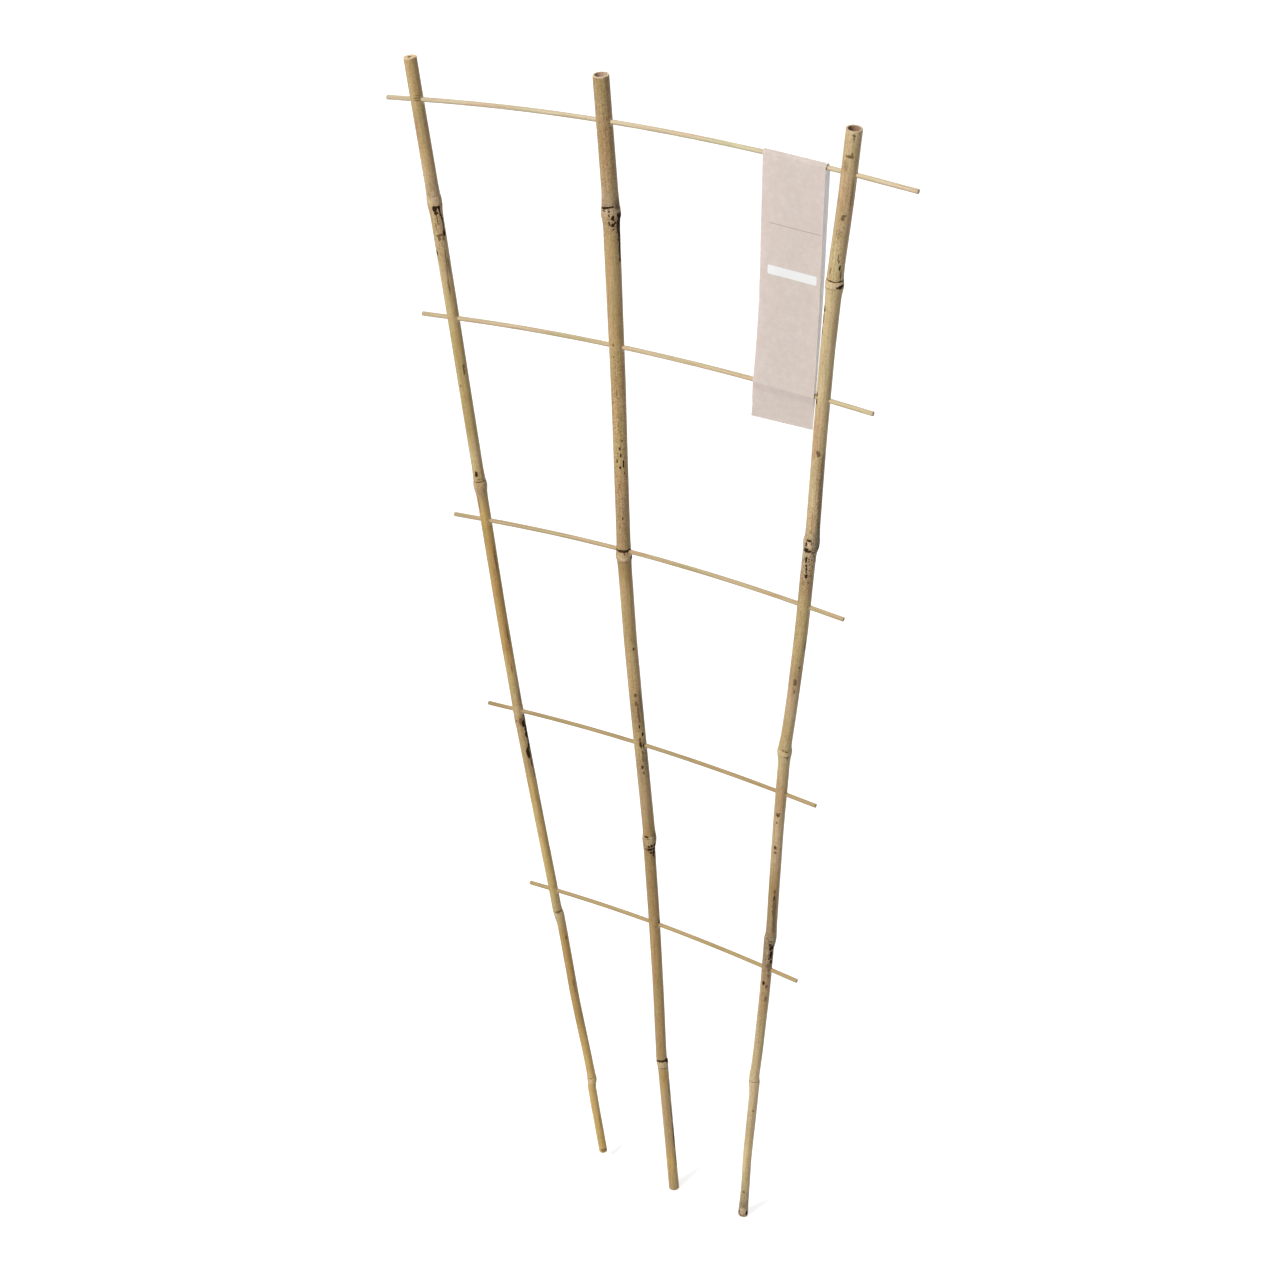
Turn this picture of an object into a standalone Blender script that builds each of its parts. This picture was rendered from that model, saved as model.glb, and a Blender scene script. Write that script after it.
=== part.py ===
"""Fan trellis: three bamboo canes, five thin crossbars through them and a folded paper label.

Metres, +Z up. X runs along the crossbars, the front faces -Y, and the origin is the middle
of the cut foot of the centre cane.
"""

import math
from collections import namedtuple

import bmesh
import bpy
from mathutils import Quaternion, Vector

# Driving sizes
TRELLIS_HEIGHT = 0.9000
LEFT_FOOT_OFFSET = -0.0634
LEFT_TOP_OFFSET = -0.1355
CENTRE_TOP_OFFSET = -0.0028
RIGHT_FOOT_OFFSET = 0.0606
RIGHT_TOP_OFFSET = 0.1563
LEFT_FOOT_HEIGHT = 0.0095
RIGHT_FOOT_HEIGHT = 0.0010
LEFT_TOP_DROP = 0.0085
RIGHT_TOP_DROP = 0.0067
CROSSBAR_DIAMETER = 0.0030

# A station is a measured place between a cane's foot and its top: its height, how far the cane
# bends there from the straight line between its ends, and its diameter. At a node, swell is what
# the ring adds to the diameter. Bamboo sets over a little at its nodes, so some of them have a
# station close below and close above.
Station = namedtuple("Station", "height bend diameter swell", defaults=(0.0,))
End = namedtuple("End", "height offset diameter")
Cane = namedtuple("Cane", "name foot top stations bore_diameter bore_off_centre colour roughness")

LEFT_CANE = Cane(
    "left_cane",
    End(LEFT_FOOT_HEIGHT, LEFT_FOOT_OFFSET, 0.0064),
    End(TRELLIS_HEIGHT - LEFT_TOP_DROP, LEFT_TOP_OFFSET, 0.0081),
    (
        Station(0.0600, -0.0003, 0.0064),
        Station(0.0755, -0.0002, 0.0064),
        Station(0.0850, 0.0014, 0.0064, swell=0.0006),
        Station(0.1040, 0.0011, 0.0064),
        Station(0.1640, -0.0012, 0.0064),
        Station(0.2350, -0.0013, 0.0065),
        Station(0.2430, -0.0020, 0.0066, swell=0.0008),
        Station(0.2495, -0.0031, 0.0067),
        Station(0.2766, -0.0035, 0.0068),
        Station(0.3440, -0.0050, 0.0069),
        Station(0.4152, -0.0063, 0.0071, swell=0.0006),
        Station(0.4940, -0.0061, 0.0072),
        Station(0.6010, -0.0044, 0.0074, swell=0.0017),
        Station(0.7290, -0.0019, 0.0077),
        Station(0.7985, -0.0008, 0.0082, swell=0.0013),
    ),
    bore_diameter=0.0022,
    bore_off_centre=-0.0006,
    colour=(0.46, 0.34, 0.15),
    roughness=0.5,
)

CENTRE_CANE = Cane(
    "centre_cane",
    End(0.0, 0.0, 0.0080),
    End(TRELLIS_HEIGHT, CENTRE_TOP_OFFSET, 0.0097),
    (
        Station(0.0550, -0.0012, 0.0077),
        Station(0.1290, -0.0028, 0.0078),
        Station(0.1320, -0.0030, 0.0078, swell=0.0007),
        Station(0.1360, -0.0036, 0.0078),
        Station(0.2080, -0.0023, 0.0079),
        Station(0.2790, -0.0018, 0.0081),
        Station(0.3385, -0.0020, 0.0083),
        Station(0.3440, -0.0015, 0.0085, swell=0.0015),
        Station(0.3490, -0.0012, 0.0085),
        Station(0.3870, -0.0023, 0.0086),
        Station(0.4500, -0.0044, 0.0087),
        Station(0.5100, -0.0059, 0.0088),
        Station(0.5760, -0.0065, 0.0090, swell=0.0012),
        Station(0.6470, -0.0040, 0.0090),
        Station(0.7005, -0.0021, 0.0093),
        Station(0.8150, 0.0007, 0.0101, swell=0.0020),
        Station(0.8290, 0.0010, 0.0099),
    ),
    bore_diameter=0.0074,
    bore_off_centre=0.0,
    colour=(0.45, 0.33, 0.18),
    roughness=0.5,
)

RIGHT_CANE = Cane(
    "right_cane",
    End(RIGHT_FOOT_HEIGHT, RIGHT_FOOT_OFFSET, 0.0077),
    End(TRELLIS_HEIGHT - RIGHT_TOP_DROP, RIGHT_TOP_OFFSET, 0.0094),
    (
        Station(0.0160, -0.0001, 0.0070),
        Station(0.0300, -0.0002, 0.0065),
        Station(0.0635, -0.0013, 0.0066),
        Station(0.1310, -0.0011, 0.0069),
        Station(0.1445, -0.0016, 0.0071, swell=0.0008),
        Station(0.1530, -0.0022, 0.0072),
        Station(0.1690, -0.0014, 0.0069),
        Station(0.2376, -0.0007, 0.0072),
        Station(0.2830, -0.0013, 0.0074),
        Station(0.2890, -0.0009, 0.0075, swell=0.0011),
        Station(0.2950, -0.0004, 0.0075),
        Station(0.3376, -0.0017, 0.0075),
        Station(0.3910, -0.0031, 0.0075),
        Station(0.4480, -0.0038, 0.0079),
        Station(0.4560, -0.0041, 0.0081, swell=0.0016),
        Station(0.4630, -0.0041, 0.0080),
        Station(0.4736, -0.0034, 0.0079),
        Station(0.5060, -0.0021, 0.0079),
        Station(0.5550, -0.0010, 0.0084),
        Station(0.6130, -0.0010, 0.0086),
        Station(0.6220, -0.0003, 0.0087, swell=0.0016),
        Station(0.6280, -0.0001, 0.0087),
        Station(0.6970, -0.0018, 0.0085),
        Station(0.7573, -0.0025, 0.0088),
        Station(0.7970, -0.0023, 0.0093, swell=0.0014),
        Station(0.8100, -0.0024, 0.0094),
        Station(0.8520, -0.0006, 0.0094),
    ),
    bore_diameter=0.0068,
    bore_off_centre=-0.0003,
    colour=(0.47, 0.35, 0.20),
    roughness=0.5,
)

CANES = (LEFT_CANE, CENTRE_CANE, RIGHT_CANE)

# A node as (rise from the ring, share of the swelling there), bottom to top
NODE_SHAPE = (
    (-0.0090, 0.0),
    (-0.0045, 0.22),
    (-0.0025, 0.50),
    (-0.0008, 1.0),
    (0.0010, 0.95),
    (0.0035, 0.55),
    (0.0080, 0.25),
    (0.0140, 0.0),
)
CUT_END_ROUNDING = 0.0004
BORE_STOP_ABOVE_NODE = 0.003

# Crossbars, top first: how far each lies below the one above it where it goes through the centre
# cane, how much lower its bow is at the left and the right cane, and how far it stands out there
TOP_CROSSBAR_BELOW_TOP = 0.0275
Crossbar = namedtuple("Crossbar", "below_last left_fall right_fall left_overhang right_overhang")
CROSSBARS = (
    Crossbar(0.0, 0.0072, 0.0056, 0.0220, 0.0415),
    Crossbar(0.1444, 0.0057, 0.0046, 0.0236, 0.0322),
    Crossbar(0.1472, 0.0050, 0.0056, 0.0250, 0.0273),
    Crossbar(0.1539, 0.0032, 0.0049, 0.0246, 0.0254),
    Crossbar(0.1586, 0.0012, 0.0062, 0.0200, 0.0235),
)
HOLE_CLEARANCE = 0.0003
CROSSBAR_COLOUR = (0.70, 0.58, 0.40)
CROSSBAR_ROUGHNESS = 0.55

# Paper label: one strip folded over the top crossbar, its two legs passing in front of and
# behind the second crossbar and glued together below it. Between the bars the legs stand apart
# by twice a half gap: a belly, and under it a waist where they nearly touch.
LABEL_WIDTH = 0.0405
PAPER_THICKNESS = 0.00035
LABEL_BAR_CLEARANCE = 0.0004
LABEL_CANE_CLEARANCE = 0.0003
LABEL_TAIL = 0.0235
LABEL_BELLY_HALF_GAP = 0.0012
LABEL_BELLY_ABOVE_WAIST = 0.0300
LABEL_WAIST_HALF_GAP = 0.0004
LABEL_WAIST_ABOVE_BAR = 0.0080
LABEL_WAIST_HEIGHT = 0.0220
LABEL_GRIP_TOP_DEGREES = 50
LABEL_GRIP_FOOT_DEGREES = -40
LABEL_GLUE_BELOW_BAR = 0.0110
LABEL_COLOUR = (0.66, 0.58, 0.52)
LABEL_ROUGHNESS = 0.8

# Mesh fineness
CANE_SIDES_SETTING = 8
CROSSBAR_SIDES_SETTING = 4
CROSSBAR_STEP = 0.018
FOLD_STEPS = 8
CUTTER_SIDES = 20
CUTTER_TWIST_DEGREES = 5
CUTTER_OVERRUN = 0.004
WELD_DISTANCE = 0.00001
SHARP_EDGE_DEGREES = 40

# Search for the place where the label comes to rest
WIDEST_REST_ANGLE = 0.2
EDGE_SAMPLES = 40
HALVINGS = 40
REST_ROUNDS = 4


def clear_scene():
    for scene_object in list(bpy.data.objects):
        bpy.data.objects.remove(scene_object, do_unlink=True)


def new_collection(name):
    collection = bpy.data.collections.new(name)
    bpy.context.scene.collection.children.link(collection)
    return collection


def finish_material(name, colour, roughness):
    material = bpy.data.materials.new(name)
    material.use_nodes = True
    shader = material.node_tree.nodes["Principled BSDF"]
    shader.inputs["Base Color"].default_value = (*colour, 1.0)
    shader.inputs["Roughness"].default_value = roughness
    shader.inputs["Metallic"].default_value = 0.0
    return material


def interpolate(points, height):
    """Value at a height on a chain of (height, value) points, held beyond its ends."""
    if height <= points[0][0]:
        return points[0][1]
    for (low, low_value), (high, high_value) in zip(points, points[1:]):
        if height <= high:
            share = (height - low) / (high - low)
            return low_value + share * (high_value - low_value)
    return points[-1][1]


def stations_between_ends(cane):
    foot, top = cane.foot.height, cane.top.height
    return [station for station in cane.stations if foot < station.height < top]


def cane_nodes(cane):
    return [station for station in stations_between_ends(cane) if station.swell]


def cane_offset(cane, height):
    """Offset of the cane's axis along the crossbars."""
    foot, top = cane.foot, cane.top
    bends = [(station.height, station.bend) for station in stations_between_ends(cane)]
    lean = (top.offset - foot.offset) / (top.height - foot.height)
    straight = foot.offset + lean * (height - foot.height)
    return straight + interpolate([(foot.height, 0.0), *bends, (top.height, 0.0)], height)


def cane_radius(cane, height):
    """Radius of the cane at a height, node swellings included."""
    places = [cane.foot, *stations_between_ends(cane), cane.top]
    diameter = interpolate([(place.height, place.diameter) for place in places], height)
    swelling = 0.0
    for node in cane_nodes(cane):
        share = interpolate(NODE_SHAPE, height - node.height)
        swelling = max(swelling, share * node.swell)
    return (diameter + swelling) / 2


def ring_heights(cane):
    """Heights of the rings that a cane's solid is made of, foot to top."""
    foot, top = cane.foot.height, cane.top.height
    heights = {foot, foot + CUT_END_ROUNDING, top - CUT_END_ROUNDING, top}
    heights.update(station.height for station in stations_between_ends(cane) if not station.swell)
    for node in cane_nodes(cane):
        heights.update(node.height + rise for rise, _ in NODE_SHAPE)
    return sorted(height for height in heights if foot <= height <= top)


def curve_object(name, points, radii, sides_setting, collection):
    """A round tube through (x, z) points, with a radius at each."""
    curve = bpy.data.curves.new(name, "CURVE")
    curve.dimensions = "3D"
    curve.bevel_depth = 1.0
    curve.bevel_resolution = sides_setting
    curve.use_fill_caps = True
    spline = curve.splines.new("POLY")
    spline.points.add(len(points) - 1)
    for point, (x, z), radius in zip(spline.points, points, radii):
        point.co = (x, 0.0, z, 1.0)
        point.radius = radius
    tube = bpy.data.objects.new(name, curve)
    collection.objects.link(tube)
    return tube


def mesh_from_curve(tube):
    """Replace a curve object by a mesh object whose end caps are welded on."""
    bpy.context.view_layer.update()
    evaluated = tube.evaluated_get(bpy.context.evaluated_depsgraph_get())
    mesh = bpy.data.meshes.new_from_object(evaluated)
    welded = bmesh.new()
    welded.from_mesh(mesh)
    bmesh.ops.remove_doubles(welded, verts=welded.verts, dist=WELD_DISTANCE)
    welded.to_mesh(mesh)
    welded.free()
    name = tube.name
    collection = tube.users_collection[0]
    placed = tube.matrix_world.copy()
    bpy.data.objects.remove(tube, do_unlink=True)
    mesh.name = name
    solid = bpy.data.objects.new(name, mesh)
    solid.matrix_world = placed
    collection.objects.link(solid)
    return solid


def shade_round(mesh):
    mesh.shade_smooth()
    mesh.set_sharp_from_angle(angle=math.radians(SHARP_EDGE_DEGREES))


def cut(solid, cutter):
    """Take a cutter away from a solid."""
    modifier = solid.modifiers.new(cutter.name, "BOOLEAN")
    modifier.operation = "DIFFERENCE"
    modifier.solver = "EXACT"
    modifier.object = cutter


def round_cutter(name, middle, direction, diameter, length, collection):
    """A cylinder that a hole is cut with, lying along a direction.

    Its twist keeps its edges off the plane that the canes lie in, where their own edges are.
    """
    shape = bmesh.new()
    bmesh.ops.create_cone(
        shape,
        cap_ends=True,
        segments=CUTTER_SIDES,
        radius1=diameter / 2,
        radius2=diameter / 2,
        depth=length,
    )
    mesh = bpy.data.meshes.new(name)
    shape.to_mesh(mesh)
    shape.free()
    cutter = bpy.data.objects.new(name, mesh)
    cutter.location = middle
    twist = Quaternion((0.0, 0.0, 1.0), math.radians(CUTTER_TWIST_DEGREES))
    cutter.rotation_euler = (Vector(direction).to_track_quat("Z", "Y") @ twist).to_euler()
    cutter.display_type = "WIRE"
    cutter.hide_render = True
    collection.objects.link(cutter)
    return cutter


class CrossbarLine:
    """Bow of a crossbar: a parabola through its three holes, straight past the outer canes."""

    def __init__(self, crossbar, centre_height):
        self.crossbar = crossbar
        heights = (
            centre_height - crossbar.left_fall,
            centre_height,
            centre_height - crossbar.right_fall,
        )
        self.holes = [
            Vector((cane_offset(cane, height), height)) for cane, height in zip(CANES, heights)
        ]
        left, centre, right = self.holes
        self.first_slope = (centre.y - left.y) / (centre.x - left.x)
        second_slope = (right.y - centre.y) / (right.x - centre.x)
        self.bend = (second_slope - self.first_slope) / (right.x - left.x)

    def slope(self, offset):
        left, centre, right = self.holes
        held = min(max(offset, left.x), right.x)
        return self.first_slope + self.bend * (2 * held - left.x - centre.x)

    def height(self, offset):
        left, centre, right = self.holes
        held = min(max(offset, left.x), right.x)
        on_bow = (
            left.y
            + self.first_slope * (held - left.x)
            + self.bend * (held - left.x) * (held - centre.x)
        )
        return on_bow + self.slope(held) * (offset - held)

    def bow_centre(self):
        """Centre of the circle that the bow follows, and its radius."""
        left, centre, _ = self.holes
        crown = (left.x + centre.x - self.first_slope / self.bend) / 2
        radius = -1 / (2 * self.bend)
        return Vector((crown, self.height(crown) - radius)), radius

    def ends(self):
        left, _, right = self.holes
        return left.x - self.crossbar.left_overhang, right.x + self.crossbar.right_overhang


def crossbar_lines():
    """The lines of the crossbars, top first."""
    height = TRELLIS_HEIGHT - TOP_CROSSBAR_BELOW_TOP
    lines = []
    for crossbar in CROSSBARS:
        height -= crossbar.below_last
        lines.append(CrossbarLine(crossbar, height))
    return lines


def make_cane(cane, lines, parts, cutters):
    """A cane: a tapered, ringed pole with its crossbar holes and the open bore at its top."""
    foot, top = cane.foot, cane.top
    heights = ring_heights(cane)
    points = [(cane_offset(cane, height) - foot.offset, height - foot.height) for height in heights]
    radii = [cane_radius(cane, height) for height in heights]
    radii[0] -= CUT_END_ROUNDING
    radii[-1] -= CUT_END_ROUNDING
    tube = curve_object(cane.name, points, radii, CANE_SIDES_SETTING, parts)
    tube.location = (foot.offset, 0.0, foot.height)
    solid = mesh_from_curve(tube)

    for number, line in enumerate(lines, start=1):
        hole = line.holes[CANES.index(cane)]
        cutter = round_cutter(
            f"{cane.name}_hole_{number}",
            (hole.x, 0.0, hole.y),
            (1.0, 0.0, line.slope(hole.x)),
            CROSSBAR_DIAMETER + 2 * HOLE_CLEARANCE,
            2 * cane_radius(cane, hole.y) + 2 * CUTTER_OVERRUN,
            cutters,
        )
        cut(solid, cutter)

    bore_foot = cane_nodes(cane)[-1].height + BORE_STOP_ABOVE_NODE
    bore_top = top.height + CUTTER_OVERRUN
    lean = (top.offset - cane_offset(cane, bore_foot)) / (top.height - bore_foot)
    middle_height = (bore_foot + bore_top) / 2
    middle_offset = top.offset + lean * (middle_height - top.height)
    bore = round_cutter(
        f"{cane.name}_bore",
        (middle_offset, cane.bore_off_centre, middle_height),
        (lean, 0.0, 1.0),
        cane.bore_diameter,
        bore_top - bore_foot,
        cutters,
    )
    cut(solid, bore)
    shade_round(solid.data)
    solid.data.materials.append(finish_material(cane.name, cane.colour, cane.roughness))
    return solid


def make_crossbar(number, line, parts):
    """A thin split rod, bowed through its three holes."""
    start, end = line.ends()
    middle = line.holes[1]
    count = math.ceil((end - start) / CROSSBAR_STEP)
    offsets = [start + (end - start) * index / count for index in range(count + 1)]
    points = [(offset - middle.x, line.height(offset) - middle.y) for offset in offsets]
    radius = CROSSBAR_DIAMETER / 2
    name = f"crossbar_{number}"
    bar = curve_object(name, points, [radius] * len(points), CROSSBAR_SIDES_SETTING, parts)
    bar.location = (middle.x, 0.0, middle.y)
    bar.data.materials.append(finish_material(name, CROSSBAR_COLOUR, CROSSBAR_ROUGHNESS))
    return bar


def label_point(centre, angle, radius, across):
    """World (x, z) of a place on the label, turned by an angle about the bow's centre."""
    x = centre.x + radius * math.sin(angle) + across * math.cos(angle)
    z = centre.y + radius * math.cos(angle) - across * math.sin(angle)
    return x, z


def label_rest_angle(centre, top_radius, drop):
    """The angle at which the label's right edge comes to rest against the right cane."""
    samples = [top_radius - drop * index / EDGE_SAMPLES for index in range(EDGE_SAMPLES + 1)]
    low, high = 0.0, WIDEST_REST_ANGLE
    for _ in range(HALVINGS):
        angle = (low + high) / 2
        clear = True
        for radius in samples:
            x, z = label_point(centre, angle, radius, LABEL_WIDTH / 2)
            limit = cane_offset(RIGHT_CANE, z) - cane_radius(RIGHT_CANE, z) - LABEL_CANE_CLEARANCE
            if x > limit:
                clear = False
        if clear:
            low = angle
        else:
            high = angle
    return low


def second_bar_drop(centre, angle, top_radius, second_line, drop):
    """How far below the top crossbar the label crosses the second one, from a first guess."""
    for _ in range(HALVINGS):
        x, z = label_point(centre, angle, top_radius - drop, 0.0)
        drop += (z - second_line.height(x)) * math.cos(angle)
    return drop


def arc_points(middle_height, radius, from_degrees, to_degrees):
    """(half gap, height) on an arc about a crossbar, angles counted from the front upwards."""
    points = []
    for index in range(FOLD_STEPS + 1):
        turn = math.radians(from_degrees + (to_degrees - from_degrees) * index / FOLD_STEPS)
        points.append((radius * math.cos(turn), middle_height + radius * math.sin(turn)))
    return points


def label_half_gap(drop, reach):
    """(half gap between the legs, height) down one leg's inner face, from the fold to the glue."""
    waist_foot = -drop + LABEL_WAIST_ABOVE_BAR
    waist_top = waist_foot + LABEL_WAIST_HEIGHT
    points = arc_points(0.0, reach, 90, 0)
    points.append((LABEL_BELLY_HALF_GAP, waist_top + LABEL_BELLY_ABOVE_WAIST))
    points.append((LABEL_WAIST_HALF_GAP, waist_top))
    points.append((LABEL_WAIST_HALF_GAP, waist_foot))
    points += arc_points(-drop, reach, LABEL_GRIP_TOP_DEGREES, LABEL_GRIP_FOOT_DEGREES)
    points.append((0.0, -drop - LABEL_GLUE_BELOW_BAR))
    return points


def closed_spline(curve, outline):
    spline = curve.splines.new("POLY")
    spline.points.add(len(outline) - 1)
    for point, (y, z) in zip(spline.points, outline):
        point.co = (y, z, 0.0, 1.0)
    spline.use_cyclic_u = True


def make_label(lines, parts):
    """The folded strip: its edge-on outline, drawn out to the width of the label."""
    top_line, second_line = lines[0], lines[1]
    centre, radius = top_line.bow_centre()
    reach = CROSSBAR_DIAMETER / 2 + LABEL_BAR_CLEARANCE

    drop = top_line.holes[2].y - second_line.holes[2].y
    for _ in range(REST_ROUNDS):
        angle = label_rest_angle(centre, radius, drop + LABEL_TAIL)
        drop = second_bar_drop(centre, angle, radius, second_line, drop)

    inner = label_half_gap(drop, reach)
    outer = arc_points(0.0, reach + PAPER_THICKNESS, 90, 0)
    outer += [(gap + PAPER_THICKNESS, z) for gap, z in inner[FOLD_STEPS + 1:]]
    outer.append((PAPER_THICKNESS, -drop - LABEL_TAIL))

    curve = bpy.data.curves.new("paper_label", "CURVE")
    curve.dimensions = "2D"
    curve.fill_mode = "BOTH"
    curve.extrude = LABEL_WIDTH / 2
    front_outer = [(-y, z) for y, z in outer[1:]]
    front_inner = [(-y, z) for y, z in inner[1:-1]]
    closed_spline(curve, outer + front_outer[::-1])
    closed_spline(curve, inner + front_inner[::-1])

    arc_centre = bpy.data.objects.new("label_arc_centre", None)
    arc_centre.location = (centre.x, 0.0, centre.y)
    arc_centre.rotation_euler = (0.0, angle, 0.0)
    parts.objects.link(arc_centre)

    label = bpy.data.objects.new("paper_label", curve)
    label.parent = arc_centre
    label.location = (0.0, 0.0, radius)
    label.rotation_euler = (math.pi / 2, 0.0, math.pi / 2)
    parts.objects.link(label)
    curve.materials.append(finish_material("paper_label", LABEL_COLOUR, LABEL_ROUGHNESS))
    return label


def build_trellis():
    clear_scene()
    parts = new_collection("garden_trellis")
    cutters = new_collection("cutters")
    lines = crossbar_lines()
    for cane in CANES:
        make_cane(cane, lines, parts, cutters)
    for number, line in enumerate(lines, start=1):
        make_crossbar(number, line, parts)
    make_label(lines, parts)
    bpy.context.view_layer.update()


build_trellis()
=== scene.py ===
"""Looks of a fan trellis: bamboo canes, thin crossbars through them and a folded paper label.

Metres, +Z up, in the frame's own place. Rows and columns are places in the photograph, in
pixels of its 1279 pixel frame, and are turned into places on the frame by the camera below.
Sizes of marks and of the grains of noise are in millimetres, where MM isn't in the value.
"""

import math
from collections import namedtuple
from functools import partialmethod, reduce

import bmesh
import bpy
import numpy as np
from mathutils import Matrix, Vector, noise
from mathutils.bvhtree import BVHTree


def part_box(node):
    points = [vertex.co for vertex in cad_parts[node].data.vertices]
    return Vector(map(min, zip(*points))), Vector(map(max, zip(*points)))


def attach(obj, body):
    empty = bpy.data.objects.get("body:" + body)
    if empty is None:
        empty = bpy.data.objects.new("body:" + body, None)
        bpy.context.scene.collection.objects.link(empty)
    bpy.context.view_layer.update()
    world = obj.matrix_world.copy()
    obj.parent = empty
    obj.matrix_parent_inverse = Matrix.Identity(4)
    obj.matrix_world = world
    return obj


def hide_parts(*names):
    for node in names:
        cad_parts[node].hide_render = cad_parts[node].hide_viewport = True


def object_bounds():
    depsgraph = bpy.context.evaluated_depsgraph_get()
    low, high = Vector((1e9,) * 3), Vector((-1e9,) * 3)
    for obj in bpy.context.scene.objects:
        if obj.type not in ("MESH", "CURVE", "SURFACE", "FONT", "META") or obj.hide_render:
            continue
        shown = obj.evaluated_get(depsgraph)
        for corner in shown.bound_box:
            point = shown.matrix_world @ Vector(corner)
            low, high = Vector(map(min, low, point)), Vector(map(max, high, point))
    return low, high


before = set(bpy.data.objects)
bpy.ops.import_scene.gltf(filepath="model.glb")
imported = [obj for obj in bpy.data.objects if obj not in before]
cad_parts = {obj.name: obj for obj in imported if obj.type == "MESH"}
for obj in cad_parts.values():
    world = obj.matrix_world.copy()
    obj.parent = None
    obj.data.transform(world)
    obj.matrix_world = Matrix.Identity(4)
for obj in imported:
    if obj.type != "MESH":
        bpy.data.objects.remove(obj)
CAD_BOX = [list(corner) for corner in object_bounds()]
MM = 0.001

# Camera of the photograph
PHOTO_SIZE = 1279
FOCAL_PIXELS = 2400
SENSOR_WIDTH = 36
CAMERA_PLACE = Vector((0.69380, -1.10303, 1.39642))
CAMERA_RIGHT = Vector((0.863261, 0.502125, -0.051489))
CAMERA_UP = Vector((-0.245513, 0.506826, 0.826348))
CAMERA_BACK = CAMERA_RIGHT.cross(CAMERA_UP)

# Ends of the canes' axes (height), the bores at their tops and the crossbar holes
CaneEnds = namedtuple("CaneEnds", "foot top bore_radius bore_shift bore_foot")
CANE_ENDS = {
    "left_cane": CaneEnds(0.0095, 0.8915, 1.1 * MM, -0.6 * MM, 0.8015),
    "centre_cane": CaneEnds(0.0, 0.9000, 3.7 * MM, 0.0, 0.8180),
    "right_cane": CaneEnds(0.0010, 0.8933, 3.4 * MM, -0.3 * MM, 0.8000),
}
HOLE_RADIUS = 1.62 * MM
BAR_RADIUS = 1.5 * MM

# A node: the row of the dark line over it, how dark it is and half its thickness in mm, the row
# and darkness of the thin dark line under it, partly painted shade under the ring's rim, how far
# the ring between them stands out in mm and how pale it is
Node = namedtuple("Node", "line_row line thick foot_row foot ring pale")
NODES = {
    "left_cane": (
        Node(1078.5, .3, .3, 1085, .25, .2, .75), Node(911.5, .2, .3, 918, .15, .16, .5),
        Node(706, 0, .3, 716, .15, .14, .35), Node(482.4, .65, .36, 490, .1, .26, .2),
        Node(197, .1, .3, 205, .15, .22, .65),
    ),
    "centre_cane": (
        Node(1061.6, 1, 1.25, 1068.8, .6, .18, 1), Node(837, .25, .4, 845, .25, .26, .6),
        # The node at row 551.8: its thin line under the ring, at row 563, is painted shade under
        # the ring's rim
        Node(551.8, 1, .85, 563, .55, .22, .3), Node(208.3, .25, .4, 214.3, .3, .16, .95),
    ),
    "right_cane": (
        Node(1082.8, .45, .45, 1087.5, .2, .2, .85), Node(938, .25, .35, 944, .4, .2, .35),
        Node(751, .32, .34, 757.7, .35, .26, .4), Node(541, .1, .35, 548, .25, .24, .1),
        Node(282.3, .72, .4, 290, .45, .24, .75),
    ),
}
# How far from a node, in rows, a cane's bend is kept crisp
NODE_CORE = 8
NODE_REACH = 20

# Tones of bamboo skin, as linear colours
TAN = (0.443, 0.305, 0.144)
STRAW = (0.475, 0.347, 0.165)
GREEN_KHAKI = (0.443, 0.322, 0.136)
BEIGE = (0.518, 0.39, 0.21)
PINK_STRAW = (0.503, 0.36, 0.205)
PALE_STRAW = (0.58, 0.432, 0.246)
CREAM = (0.535, 0.41, 0.232)
ROSE_TAN = (0.425, 0.297, 0.168)
GOLD = (0.445, 0.28, 0.094)
PALE_GOLD = (0.515, 0.357, 0.138)
BRIGHT_GOLD = (0.58, 0.39, 0.135)
DARK_GOLD = (0.35, 0.225, 0.09)
UMBER = (0.397, 0.27, 0.138)
BROWN = (0.37, 0.252, 0.119)
WARM_BROWN = (0.408, 0.269, 0.111)
GREY_BROWN = (0.371, 0.273, 0.163)
MUD = (0.30, 0.214, 0.122)
ASH = (0.445, 0.34, 0.205)
BUFF = (0.64, 0.485, 0.246)
# The streaks and flecks darken the tones by about this much
TONE_GAIN = np.array((1.14, 1.185, 1.21))

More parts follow.
